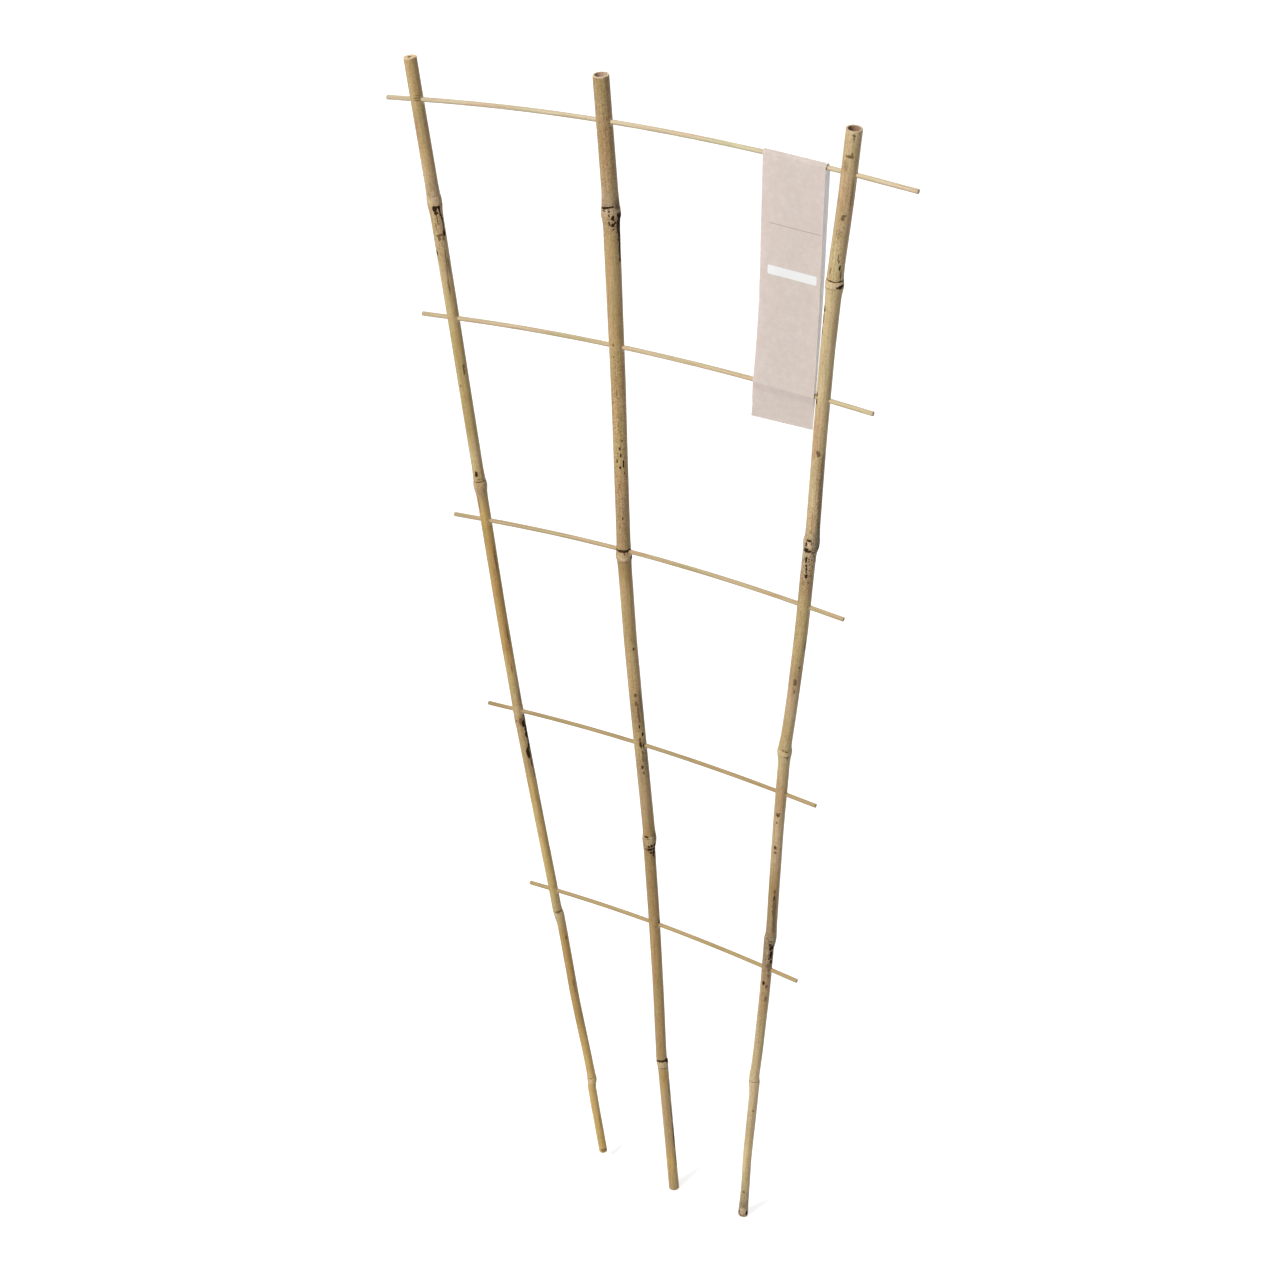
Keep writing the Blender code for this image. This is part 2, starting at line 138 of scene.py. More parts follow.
# Tone down each cane: (row in the photograph, tone)
ZONES = {
    "left_cane": (
        (60, TAN), (105, TAN), (125, UMBER), (150, TAN), (185, PINK_STRAW), (248, PINK_STRAW),
        (275, BEIGE), (300, STRAW), (315, STRAW), (340, GREEN_KHAKI), (435, GREEN_KHAKI),
        (455, BEIGE), (470, STRAW), (492, UMBER), (512, PALE_GOLD), (540, GOLD), (650, GOLD),
        (667, PALE_GOLD), (695, STRAW), (712, TAN), (765, TAN), (787, PALE_GOLD),
        (882, PALE_GOLD), (905, STRAW), (918, STRAW), (936, GOLD), (1020, GOLD),
        (1055, BRIGHT_GOLD), (1152, BRIGHT_GOLD),
    ),
    "centre_cane": (
        (80, BROWN), (115, UMBER), (145, BROWN), (180, UMBER), (203, GREY_BROWN),
        (218, ROSE_TAN), (236, TAN), (400, TAN), (430, STRAW), (455, STRAW), (475, TAN),
        (505, UMBER), (532, BROWN), (551, BROWN), (556, UMBER), (568, DARK_GOLD), (592, TAN),
        (690, TAN), (706, BROWN), (722, BROWN), (738, TAN), (750, STRAW), (765, UMBER),
        (800, UMBER), (820, BROWN), (834, DARK_GOLD), (895, DARK_GOLD), (925, WARM_BROWN),
        (1052, WARM_BROWN), (1065, TAN), (1078, GOLD), (1100, TAN), (1140, TAN),
        (1162, BRIGHT_GOLD), (1185, TAN),
    ),
    "right_cane": (
        (130, CREAM), (150, PINK_STRAW), (235, PINK_STRAW), (258, CREAM), (285, BEIGE),
        (328, BEIGE), (350, CREAM), (385, CREAM), (407, BEIGE), (470, PINK_STRAW), (500, CREAM),
        (528, PINK_STRAW), (545, ASH), (562, ASH), (587, BROWN), (617, STRAW), (652, STRAW),
        (677, UMBER), (707, PINK_STRAW), (737, STRAW), (767, BEIGE), (797, TAN),
        (827, PINK_STRAW), (862, PINK_STRAW), (887, DARK_GOLD), (915, BROWN), (942, MUD),
        (958, MUD), (977, BROWN), (1007, TAN), (1037, BEIGE), (1070, PALE_STRAW),
        (1100, PALE_STRAW), (1127, BEIGE), (1157, BUFF), (1187, BEIGE), (1205, GREY_BROWN),
        (1216, MUD),
    ),
}

# Share of fine dark flecks in the skin down each cane: (row, share)
FLECKS = {
    "left_cane": (
        (60, .3), (180, .5), (210, .9), (265, .5), (300, .15), (460, .35), (490, .2), (700, .5),
        (765, .5), (800, .15), (1150, .2),
    ),
    "centre_cane": (
        (80, .85), (190, .75), (225, .9), (270, .35), (345, .5), (370, 1), (485, 1), (545, .6),
        (570, .2), (640, .35), (695, .7), (760, .7), (800, .3), (850, .7), (930, .5), (1050, .4),
        (1080, .3), (1185, .3),
    ),
    "right_cane": (
        (130, .45), (270, .5), (300, .15), (420, .35), (530, .8), (550, 1.3), (582, 1.2),
        (600, .6), (660, .5), (730, .25), (810, .3), (900, .5), (950, 1), (1010, .6),
        (1050, .25), (1150, .25), (1215, .9),
    ),
}

# Marks on each cane, by kind. A mark: the row it is seen in, its place across from the left
# silhouette, -1, to the right one, 1, half its length and half its width in mm, its strength
MARKS = {
    "left_cane": {"scar": (
        (206.9, .34, .6, 1.5, 1), (209.1, -.12, 1.7, 1.25, 1), (208.7, .5, 1.4, .7, 1),
        (211.3, .55, 3, .5, 1), (213.4, .02, .9, 1.3, .8), (216.5, .68, 1.3, .5, 1),
        (219.5, .74, 2.2, .5, .95), (224, .76, 1.6, .5, 1), (228.5, .76, 1.4, .5, .9),
        (232.7, .72, 1.9, .9, 1), (253, -.85, 1.9, .6, .8), (474.7, -.36, 1.9, .9, 1),
        (723.5, .6, 2.8, 1.3, 1), (728.5, .82, 2.6, 1.1, 1), (734, .72, 2.2, 1, .9),
        (738, .9, 6.8, .6, .9), (746, .75, 2.2, .6, .8), (753.4, .45, 4.2, 1.3, 1),
        (762, .66, 3.4, .45, .75),
    ), "stain": (
        (95.5, .15, .3, 2.2, .75), (98, .1, .32, 2.8, .9), (100.5, 0, .3, 2.6, .8),
        (219, 0, 4, .4, .7), (226, -.35, 2.5, .4, .6), (235.5, .05, .8, 2.3, .95),
        (239, -.15, 1.4, .9, .9), (238, .5, 1.6, .6, .7), (258, .35, 6, .4, .8),
        (266, .6, 6, .4, .75), (272, .2, 5, .35, .65), (286, .12, 5.5, .4, .95),
        (366, .45, 1.6, .5, .9), (370, .33, 3.4, .6, 1), (386, -.6, .9, .4, .85),
        (479.5, 0, .25, 2.4, .65), (505, -.75, 6, .4, .75), (560, .55, 10, .7, .55),
        (635, .55, 8, .6, .65), (668, .2, 5, .5, .55), (722, .1, 3, 1.2, .75),
        (721, -.6, .8, .9, .55), (764, .72, 3.6, .5, 1), (773, .78, 3.8, .5, .95),
        (806, .88, 6, .6, .7), (911.7, .25, .9, 2.6, .9), (913.5, .1, .6, .6, .45),
        (937.6, .45, 1.4, .7, 1), (985, .35, 7, .8, .5), (1079, -.35, .5, .8, .45),
        (1081, .35, .4, .7, .5), (1085, .45, 1.4, .8, .35), (1120, .5, 7, .4, .5),
        (1150, .3, 1.5, 2.6, .6),
    ), "grey": (
        (191, 0, 6, 4.5, .3), (204, .8, 3.5, 1.4, .45), (698, .85, 8, 1.3, .5),
        (717.5, .72, 2.6, 1.6, .95), (745, .85, 14, 1.2, .75),
    ), "pale": (
        (193.5, 0, 1.6, 1.1, .5), (198.5, .3, 1.2, .9, .4), (200.5, -.05, 1.8, 1.3, .45),
        (210, .22, 1.2, .6, .5),
    )},
    "centre_cane": {"scar": (
        (207.4, .12, .5, 1.5, 1), (207.8, -.2, .5, 1.6, 1), (208, -.5, .55, 1.6, 1),
        (208.3, -.76, .65, 1.5, 1), (211, -.72, .35, 1.2, .8), (211.9, -.17, .4, .8, .8),
        (216, -.22, .7, .5, .85), (218.6, .17, 1.5, .85, 1), (223.2, -.25, .6, .5, .85),
        (225, -.2, .6, .5, .85), (225.4, .17, 1.1, 1, 1), (223, .4, .8, .6, .95),
        (229.5, .22, .6, .5, .7), (215.5, .76, 1.8, 1.3, .85), (221, .88, 5, 2.4, .75),
        (231, .9, 5.2, 2, .75), (240.5, .88, 4, 1.2, .75), (249.5, .84, 3.4, .9, .75),
        (258.5, .86, 2.6, .8, .8), (441, .25, .9, .45, .7), (449, -.1, 1.1, .5, .75),
        (455.5, 0, 1.3, .5, .8), (461, -.55, 1.4, .45, .75), (464, .35, 2.4, .5, .9),
        (468, -.1, 1, .65, .8), (473, .5, .9, .45, .6), (518.5, 0, .9, .4, .65),
        (550.8, .62, .9, 2.2, 1), (557.5, .9, 1.2, 1, .95), (554.2, .05, .8, .3, .75),
        (649, .36, 1, .6, .75), (727, .15, 1.4, .55, .85), (734.3, .55, 1.6, .8, .9),
        (745, .1, 1.8, .8, .7), (746, .55, 1.8, .7, .8), (767.6, 0, 1.3, .9, .75),
        (837.2, -.48, .6, 1.6, .85), (847, -.1, 1, .85, 1), (850.2, -.1, 1.1, .9, 1),
        (846.3, .29, 1.1, .8, 1), (849.6, .29, 1.2, .9, 1), (852.8, .27, 1, .8, 1),
        (844.8, .74, 1.5, 1, 1), (848.4, .72, 1.5, 1.1, 1), (852, .7, 1.5, 1, 1),
        (855, .62, 1, .8, .9), (857.2, .85, .9, .7, .8), (922, .85, 1.7, .9, .9),
        (1060.7, .85, 1.1, 1.2, 1), (1135, .86, 13, .8, .6),
    ), "stain": (
        (206, .75, 2, 1.2, .6), (850, .35, 3.4, 3, .5), (345, -.45, 1, .5, .9),
        (357, -.5, .8, .4, .9), (524, .15, .8, .35, .9), (556.5, -1, 2.2, 1.4, .5),
        (640, .15, .6, .4, .9), (695.4, 0, 1.4, 1, .9), (704, -.05, 1.8, .8, .9),
        (711, .2, 5, .6, 1), (719, .27, 3.2, .65, 1), (740.5, .05, 2.6, .9, .95),
        (744.5, .08, 3, 1.1, 1), (753, .25, 1.6, .7, .95), (759, .2, 3, .5, .85),
        (773, .1, 1.1, .7, .9), (839.5, -.2, .4, .8, .8), (849.5, -.52, .8, 1.5, .8),
        (926, .2, 2, 1.6, .35), (1068.6, 0, .3, 2.6, .8), (1088, .85, 9, .8, .8),
        (1112, .85, 9, .8, .9), (1157, .86, 9, .8, .9),
    ), "grey": (
        (206.5, .78, 4.5, 2.6, .75), (209, -.1, 3.5, 4, .25), (228, .55, 10, 1.4, .35),
        (702, .66, 8, .6, .95), (712, .85, 14, 1.2, .45), (755, .74, 10, 1.8, .75),
        (770, .85, 9, 1.2, .5), (838, .75, 5, 1.8, .7), (841, -.75, 4, 1.4, .4),
        (850, .85, 7, 1.4, .55), (563, .9, 6, 1.2, .4),
    ), "pale": (
        (212.8, -.25, 1.6, 3.2, .35), (556.5, -.78, .6, 1, .7), (558.5, -.45, .6, 1.3, .8),
        (560, -.05, .65, 1.5, .9), (558, .38, .6, 1.3, .85), (555, .7, .6, 1, .8),
        (844.5, -.45, .8, 2.2, .45),
    )},
    "right_cane": {"scar": (
        (268.3, .35, 1.5, .55, .8), (287.2, .66, 1.2, 1.7, 1), (286.2, .93, .9, 1, 1),
        (288.2, .34, .55, 1, .9), (309, -.93, 1.7, .7, .9), (318, -.94, 3.2, .5, .75),
        # The two scars at rows 394.5 and 402 on the left edge are painted shade beside the label's
        # edge
        (394.5, -.93, 1.7, .7, .95), (402, -.92, 1.7, .6, .8), (541, -.4, .6, 1.6, .9),
        (544.4, -.64, 1.6, .5, .95), (544.2, -.02, 1, .4, .6), (550.2, -.62, 1.7, 1.8, .95),
        (551.8, -.15, .9, 1, .8), (548.5, .85, 1.5, .8, .85), (553, .35, .7, 1, .5),
        (556, .5, .5, .45, .75), (557, .12, .4, .4, .7), (559.6, -.42, 1.9, .66, 1),
        (559.4, -.02, .5, .4, .75), (560, .3, .4, .4, .7), (562, -.02, .5, .4, .7),
        (565, .17, .5, .4, .7), (565.8, -.34, .8, .55, 1), (569.6, -.28, 1.6, .42, 1),
        (572.9, -.22, .6, .45, .9), (576.4, -.15, 1.5, .75, 1), (571, .25, .7, .4, .6),
        (815.7, -.3, .9, .8, .55), (847.9, -.37, .9, .6, .6), (897.5, .1, 2.4, .5, .75),
        (945.3, .05, .9, 1.2, .8), (948, .46, 2.7, 1.4, 1), (955, .52, 3.4, 1.1, .95),
        (959, .2, 1, .6, .9), (962, .6, 1.9, .9, .9), (983, -.45, 1.6, .9, .8),
        (1212.5, .68, 2.4, 1, 1), (1211, -.85, 1.5, .6, .7),
    ), "stain": (
        (136, 0, .9, .8, .95), (139.5, .05, 1, .6, .6), (154.5, .05, 1.1, .5, .75),
        (157, -.25, .8, 2.1, .95), (166, -.6, 3, 1.6, .4), (196, .55, 9, .6, .5),
        (216, 0, .6, 1.3, .85), (218.5, -.15, 1.5, .9, 1), (234, -.3, 3, 1.5, .35),
        (257.6, 0, 2, .42, .85), (262, .15, 1, .5, .9), (271, -.72, 2.2, .7, .6),
        (276, .55, 2.5, .6, .7), (331, -.92, 2.2, .5, .95), (454, -.1, 2, 1.2, .9),
        (470, .74, 12, 1.8, .5), (492, .7, 16, 2.1, .55), (514, .72, 10, 1.8, .55),
        (583, .2, .8, .4, .85), (646, .8, 4.5, .9, .95), (668, .35, 1.2, .7, .8),
        (682.6, -.05, 2.5, 1.1, .9), (692, 0, 1.3, .6, .8), (751.4, -.15, .35, 1.6, .9),
        (752.4, .28, .4, 1.4, 1), (757.8, .35, .4, 2.2, .95), (759.5, .35, .7, .5, .9),
        (815.7, -.3, 1.5, 1.2, 1), (814, -.52, .7, .6, .9), (813.8, -.08, .7, .6, .9),
        (823, -.4, .9, .7, .85), (847.9, -.37, 1.6, .95, 1), (852.7, -.3, 1.1, 1, .95),
        (892, .08, 2.2, .7, 1), (900, .1, 4, 1, 1), (909, .18, 9, 1.2, 1),
        (925, .34, 8, 1.2, .75), (939, -.5, .5, 1.3, .9), (942, .1, .6, 2.3, .95),
        (946.5, .06, 2.2, .8, .8), (955.5, .05, 1, .5, .8), (966, .1, 2, 1.5, .6),
        (970.5, .28, 1.6, .6, .8), (976, .4, 1.3, .7, .9), (986.9, .15, 1.7, .9, 1),
        (999, .2, 2.6, 1, .7), (1110.9, .1, 1, .6, 1), (1122, .92, 8, .5, .8),
        (1192, -.35, 1.2, .8, .9), (1206.5, 0, .5, 2, .6), (1215, -.5, .7, .6, .9),
    ), "grey": (
        (531, .72, 6, 1.8, .7), (541, .66, 8.5, 2.4, .95), (551.5, .55, 2.2, 2.4, .75),
        (554, .8, 6, 1.4, .7), (941, .1, 3, 4, .45), (957, .5, 12, 2.2, .6),
        (1204, .2, 2, 3, .35),
    ), "pale": (
        (544.8, -.26, 1.9, 1.5, 1), (952, -.28, 2.6, .7, .45), (960.5, 0, 1.6, .5, .5),
        (1211.5, -.2, 3.2, 2.4, .65),
    )},
}
# A mark covers all up to this share of its size and fades out to a share that depends on its
# kind; its outline is ragged by this much, and a scar's rim stands up round it
MARK_CORE = 0.85
MARK_EDGE = {"scar": 1.35, "stain": 1.35, "grey": 1.5, "pale": 1.5}
RAGGED = 0.45
RIM_PLACE, RIM_WIDTH = 1.45, 0.35
SCAR_DEPTH = 0.28 * MM
SCAR_RIM = 0.12 * MM
# How unevenly the skin grew, broadly and finely
GROWTH = 0.07
RIPPLE = 0.035
# A node's lines wander up and down by this many mm; half the thickness of its foot's line, partly
# painted shade under the ring's rim
WANDER = 0.45
FOOT_THICK = 0.36
# A crossbar hole's torn fibres: their reach round and along the cane, how ragged they are and
# where they fade out and in; its lip: place, half the width and height
TORN_ROUND, TORN_ALONG, TORN_RAGGED = 0.85, 1.35, 0.55
TORN_FADE = (2.45, 1.85)
LIP_PLACE, LIP_WIDTH = 1.85, 0.40
LIP_HEIGHT = 0.12 * MM

# Reading the solids: steps, and rays that pass beside the seams in the middle plane
FAR = 1.0
READ_STEP = 1.0 * MM
AXIS_STEP = 0.5 * MM
CHORD_SHIFT = 2.5 * MM
BAR_SHIFT = 0.2 * MM
BAR_INSET = 1.5 * MM
# How far the readings are evened out, in steps: a cane's bends near its nodes and between them,
# its radius, and a crossbar's height
CRISP, SOFT, EVEN_RADIUS, EVEN_BAR = 2.5, 16.0, 2.0, 9.0

# Fineness of the canes' meshes
CANE_SIDES = 88
COARSE_STEP = 1.6 * MM
FINE_STEP = 0.35 * MM
FINE_REACH = 3.2 * MM
# Marks longer than this, in mm, need no fine steps
LONG_MARK = 4.5
CUTTER_SIDES = 32
SHARP_DEGREES = 38


def smoothstep(low, high, value):
    share = np.clip((np.asarray(value, float) - low) / (high - low), 0.0, 1.0)
    return share * share * (3 - 2 * share)


def bell(value, middle, width):
    return np.exp(-((value - middle) / width) ** 2)


def turned(angle, start):
    """Angle from the start, between half a turn back and half a turn on."""
    return (angle - start + math.pi) % (2 * math.pi) - math.pi


def row_of(point):
    """Row in which the photograph shows a point."""
    reach = Vector(point) - CAMERA_PLACE
    depth = -reach.dot(CAMERA_BACK)
    return PHOTO_SIZE / 2 - FOCAL_PIXELS * reach.dot(CAMERA_UP) / depth


def solid_tree(node):
    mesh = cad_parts[node].data
    points = [vertex.co for vertex in mesh.vertices]
    return BVHTree.FromPolygons(points, [tuple(face.vertices) for face in mesh.polygons])


def first_hit(tree, start, direction):
    return tree.ray_cast(Vector(start), Vector(direction))[0]


def smoothed(values, spread):
    """Values on an even grid, evened out over a spread counted in grid steps."""
    reach = int(3 * spread)
    weights = np.exp(-0.5 * (np.arange(-reach, reach + 1) / spread) ** 2)
    weights /= weights.sum()
    steps = np.arange(1, reach + 1)
    before = values[0] - (values[1] - values[0]) * steps[::-1]
    after = values[-1] + (values[-1] - values[-2]) * steps
    return np.convolve(np.concatenate([before, values, after]), weights, "valid")


def linked(name, data):
    made = bpy.data.objects.new(name, data)
    bpy.context.scene.collection.objects.link(made)
    return made


def object_from(name, points, faces, material_indices=None):
    mesh = bpy.data.meshes.new(name)
    mesh.from_pydata([tuple(point) for point in points], [], faces)
    if material_indices is not None:
        mesh.polygons.foreach_set("material_index", material_indices)
    mesh.update()
    return linked(name, mesh)


ATTRIBUTE_KINDS = {(): ("FLOAT", "value"), (3,): ("FLOAT_VECTOR", "vector"),
                   (4,): ("FLOAT_COLOR", "color")}


def write_attributes(mesh, **fields):
    """Store a number, a vector or a colour at each vertex, by name."""
    for name, values in fields.items():
        values = np.asarray(values, np.float32)
        kind, field = ATTRIBUTE_KINDS[values.shape[1:]]
        mesh.attributes.new(name, kind, "POINT").data.foreach_set(field, values.ravel())


def make_outward(mesh):
    """Turn the faces so that they all look outwards."""
    shape = bmesh.new()
    shape.from_mesh(mesh)
    bmesh.ops.recalc_face_normals(shape, faces=shape.faces)
    shape.to_mesh(mesh)
    shape.free()


def settle(piece, body, node):
    """Shade a finished piece, hang it on its body's empty and hide the part it stands for."""
    piece.data.shade_smooth()
    piece.data.set_sharp_from_angle(angle=math.radians(SHARP_DEGREES))
    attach(piece, body)
    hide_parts(node)


def ring_faces(rings, sides, closed=True):
    """Quads between rings of vertices that lie one after the other."""
    faces = []
    for ring in range(rings - 1):
        for side in range(sides if closed else sides - 1):
            after = (side + 1) % sides
            low, high = ring * sides, (ring + 1) * sides
            faces.append((low + side, low + after, high + after, high + side))
    return faces


def noise_field(places, sizes, seed):
    """Smooth noise, about -1 to 1, at each place, with grains of the given sizes."""
    shift = Vector((seed * 7.31, seed * 3.17, seed * 5.77))
    sx, sy, sz = (size * MM for size in sizes)
    return np.array([
        noise.noise(Vector((x / sx, y / sy, z / sz)) + shift) for x, y, z in places
    ])


class Course:
    """A line in the frame's plane, kept on an even grid and straight beyond its ends."""

    def keep(self, grid, values):
        self.grid, self.values = grid, values
        self.slopes = np.gradient(values, grid)

    def slope(self, at):
        return np.interp(at, self.grid, self.slopes)

    def reach(self, at):
        within = np.clip(at, self.grid[0], self.grid[-1])
        return np.interp(within, self.grid, self.values) + self.slope(at) * (at - within)


class BarLine(Course):
    """Centre line of a crossbar, read from the frame: its height at each x."""

    height = Course.reach

    def __init__(self, number):
        self.node = f"crossbar_{number}"
        tree = solid_tree(self.node)
        low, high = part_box(self.node)
        self.start, self.end = low.x, high.x
        found = []
        for x in np.arange(low.x + BAR_INSET, high.x - BAR_INSET, READ_STEP):
            top, foot = (first_hit(tree, (x, BAR_SHIFT, -side * FAR), (0, 0, side))
                         for side in (-1, 1))
            if top and foot:
                found.append((x, (top.z + foot.z) / 2))
        offsets, heights = zip(*found)
        even = np.arange(offsets[0], offsets[-1], READ_STEP)
        self.keep(even, smoothed(np.interp(even, offsets, heights), EVEN_BAR))


class CaneLine(Course):
    """Axis of a cane, its x at each height, and its radius, read from the frame, and its marks."""

    offset = Course.reach

    def __init__(self, name, bars):
        self.name = name
        self.ends = CANE_ENDS[name]
        self.read_solid()
        self.holes = []
        for bar in bars:
            x = self.offset(0.5)
            for _ in range(5):
                x = float(self.offset(float(bar.height(x))))
            self.holes.append((x, float(bar.height(x)), float(bar.slope(x))))
        self.read_view()
        self.marks = [(kind, *self.surface_in_row(row, across), tall, wide, strength)
                      for kind, marks in MARKS[name].items()
                      for row, across, tall, wide, strength in marks]
        self.nodes = [(self.front_in_row(node.line_row), self.front_in_row(node.foot_row), node)
                      for node in NODES[name]]

    def read_solid(self):
        tree = solid_tree(self.name)
        grid = np.arange(self.ends.foot + READ_STEP, self.ends.top - READ_STEP, AXIS_STEP)
        found = []
        for height in grid:
            left, right = (first_hit(tree, (-side * FAR, CHORD_SHIFT, height), (side, 0, 0))
                           for side in (1, -1))
            if left and right:
                middle = (left.x + right.x) / 2
                front = first_hit(tree, (middle, -FAR, height), (0, 1, 0))
                if front:
                    found.append((height, middle, abs(front.y)))
        heights, offsets, radii = zip(*found)
        offsets = np.interp(grid, heights, offsets)
        crisp, soft = smoothed(offsets, CRISP), smoothed(offsets, SOFT)
        self.radii = smoothed(np.interp(grid, heights, radii), EVEN_RADIUS)
        rows = np.array([row_of(place) for place in zip(crisp, -self.radii, grid)])
        near = np.zeros(len(grid))
        for node in NODES[self.name]:
            away = abs(rows - (node.line_row + node.foot_row) / 2)
            near = np.maximum(near, smoothstep(NODE_REACH, NODE_CORE, away))
        self.keep(grid, near * crisp + (1 - near) * soft)

    def radius(self, height):
        return np.interp(height, self.grid, self.radii)

    def place(self, height, angle, radius, shift=0.0):
        """World places at an angle, counted from the front towards +X, about the axis."""
        slope = self.slope(height)
        length = np.sqrt(1 + slope ** 2)
        across = radius * np.sin(angle)
        x = self.offset(height) + across / length
        y = shift - radius * np.cos(angle)
        z = height - across * slope / length
        return np.stack(np.broadcast_arrays(x, y, z), axis=-1)

    def about_axis(self, places):
        """(height on the axis, angle, distance from the axis) of places near the cane."""
        x, y, z = places.T
        height = z.copy()
        for _ in range(3):
            slope = self.slope(height)
            along = (x - self.offset(height)) * slope + (z - height)
            height = height + along / (1 + slope ** 2)
        slope = self.slope(height)
        across = ((x - self.offset(height)) - slope * (z - height)) / np.sqrt(1 + slope ** 2)
        return height, np.arctan2(across, -y), np.hypot(across, y)

    def read_view(self):
        """Where the photograph shows the axis, and from which side."""
        heights = self.grid[::10]
        points = [Vector((float(self.offset(height)), 0.0, float(height))) for height in heights]
        rows = np.array([row_of(point) for point in points])
        facing = np.array([math.atan2(CAMERA_PLACE.x - point.x, -CAMERA_PLACE.y)
                           for point in points])
        order = np.argsort(rows)
        self.rows, self.row_heights, self.row_facing = rows[order], heights[order], facing[order]

    def height_in_row(self, row):
        return float(np.interp(row, self.rows, self.row_heights))

    def surface_in_row(self, row, across):
        """(height on the axis, angle) of the surface seen in a row, so far across the cane."""
        angle = float(np.interp(row, self.rows, self.row_facing)) + math.asin(across)
        height = self.height_in_row(row)
        for _ in range(6):
            error = row - row_of(self.place(height, angle, float(self.radius(height))))
            axis_row = np.interp(height, self.row_heights[::-1], self.rows[::-1])
            height = self.height_in_row(axis_row + error)
        return height, angle

    def front_in_row(self, row):
        """Height of the ring round the cane whose middle is seen in a row."""
        return self.surface_in_row(row, 0.0)[0]

    def along_rows(self, stops, height):
        """A number or colour that changes down the cane, from its (row, value) stops."""
        heights = np.array([self.front_in_row(row) for row, _ in stops])
        values = np.array([value for _, value in stops], float).reshape(len(stops), -1)
        order = np.argsort(heights)
        columns = [np.interp(height, heights[order], column) for column in values[order].T]
        return np.squeeze(np.stack(columns, axis=-1))

    def straightened(self, height, angle):
        radius = self.radius(height)
        return np.stack([radius * np.sin(angle), -radius * np.cos(angle), height], axis=-1)

    def grown(self, height, angle, sizes, seed):
        """Noise on the skin, with grains of the given sizes."""
        return noise_field(self.straightened(height, angle), sizes, seed)

    def mark_masks(self, height, angle):
        """How strongly each kind of mark covers each place, and the scars' raised rims."""
        ragged = RAGGED * self.grown(height, angle, (0.8, 0.8, 1.2), 2)
        masks = {kind: np.zeros(len(height)) for kind in MARKS[self.name]}
        rim = np.zeros(len(height))
        radius = self.radius(height)
        for kind, at_height, at_angle, tall, wide, strength in self.marks:
            rise = (height - at_height) / (tall * MM)
            over = turned(angle, at_angle) * radius / (wide * MM)
            spread = np.sqrt(rise ** 2 + over ** 2) + ragged
            cover = strength * smoothstep(MARK_EDGE[kind], MARK_CORE, spread)
            masks[kind] = np.maximum(masks[kind], cover)
            if kind == "scar":
                rim = np.maximum(rim, strength * bell(spread, RIM_PLACE, RIM_WIDTH))
        return masks, rim

    def node_masks(self, height, angle):
        """Dark line above each node's ring, the pale ring, and the relief of both."""
        wander = WANDER * self.grown(height, angle, (3.0, 3.0, 60), 5)
        breaks = self.grown(height, angle, (1.6, 1.6, 60), 6)
        knobs = self.grown(height, angle, (1.3, 1.3, 1.3), 7)
        line, pale, relief = (np.zeros(len(height)) for _ in range(3))
        for upper, lower, node in self.nodes:
            # How far over the dark line and over the thin one, in mm
            over, under = ((height - start) / MM + wander for start in (upper, lower))
            thin = smoothstep(1.3, 0.7, np.abs(over) / (node.thick * (1 + 0.5 * breaks)))
            # the thin line under the ring is partly painted shade under the ring's rim
            foot_line_and_shade = bell(under, 0, FOOT_THICK)
            for strength, trace in ((node.line, thin), (node.foot, foot_line_and_shade)):
                whole = smoothstep(-0.55, 0.15, breaks + 0.5 * strength)
                line = np.maximum(line, strength * trace * whole)
            band = smoothstep(0.1, -0.7, over) * smoothstep(-0.7, 0.5, under)
            worn = 0.40 + 0.60 * smoothstep(-0.35, 0.45, knobs + 0.6 * breaks)
            lower_rim = 0.8 * bell(under, 0.7, 0.5) * smoothstep(-0.6, 0.2, breaks)
            cream = node.pale * np.maximum(band * worn, lower_rim)
            pale = np.maximum(pale, cream * (1 - 0.5 * line))
            middle = (0.5 * upper + 0.5 * lower) / MM
            half = max(0.7, 0.36 * (upper - lower) / MM)
            ring = bell(height / MM + wander, middle, half) * (1 + 0.3 * breaks + 0.45 * knobs)
            relief = relief + node.ring * (ring - 0.9 * thin - 0.5 * foot_line_and_shade) * MM
        return line, pale, relief

    def hole_masks(self, height, angle):
        """Torn pale fibres and the lip about each crossbar hole."""
        frayed = self.grown(height, angle, (0.5, 0.5, 2.5), 9)
        torn, lip = np.zeros(len(height)), np.zeros(len(height))
        radius = self.radius(height)
        for _, hole_height, _ in self.holes:
            rise = (height - hole_height) / MM
            for side in (-1, 1):
                over = turned(angle, side * math.pi / 2) * radius / MM
                fray = np.hypot(over / TORN_ROUND, rise / TORN_ALONG) + TORN_RAGGED * frayed
                torn = np.maximum(torn, smoothstep(*TORN_FADE, fray))
                edge = bell(np.hypot(over, rise), LIP_PLACE, LIP_WIDTH)
                lip = np.maximum(lip, edge * (0.6 + 0.6 * frayed))
        return torn, lip

    def surface_radius(self, height, angle):
        """Radius of the skin with its uneven growth, rings, scars and hole lips."""
        growth = self.grown(height, angle, (6, 6, 45), 1)
        ripple = self.grown(height, angle, (2.2, 2.2, 16), 3)
        masks, rim = self.mark_masks(height, angle)
        _, _, relief = self.node_masks(height, angle)
        _, lip = self.hole_masks(height, angle)
        uneven = (GROWTH * growth + RIPPLE * ripple) * MM
        scars = SCAR_RIM * rim - SCAR_DEPTH * masks["scar"]
        return self.radius(height) + uneven + relief + scars + LIP_HEIGHT * lip


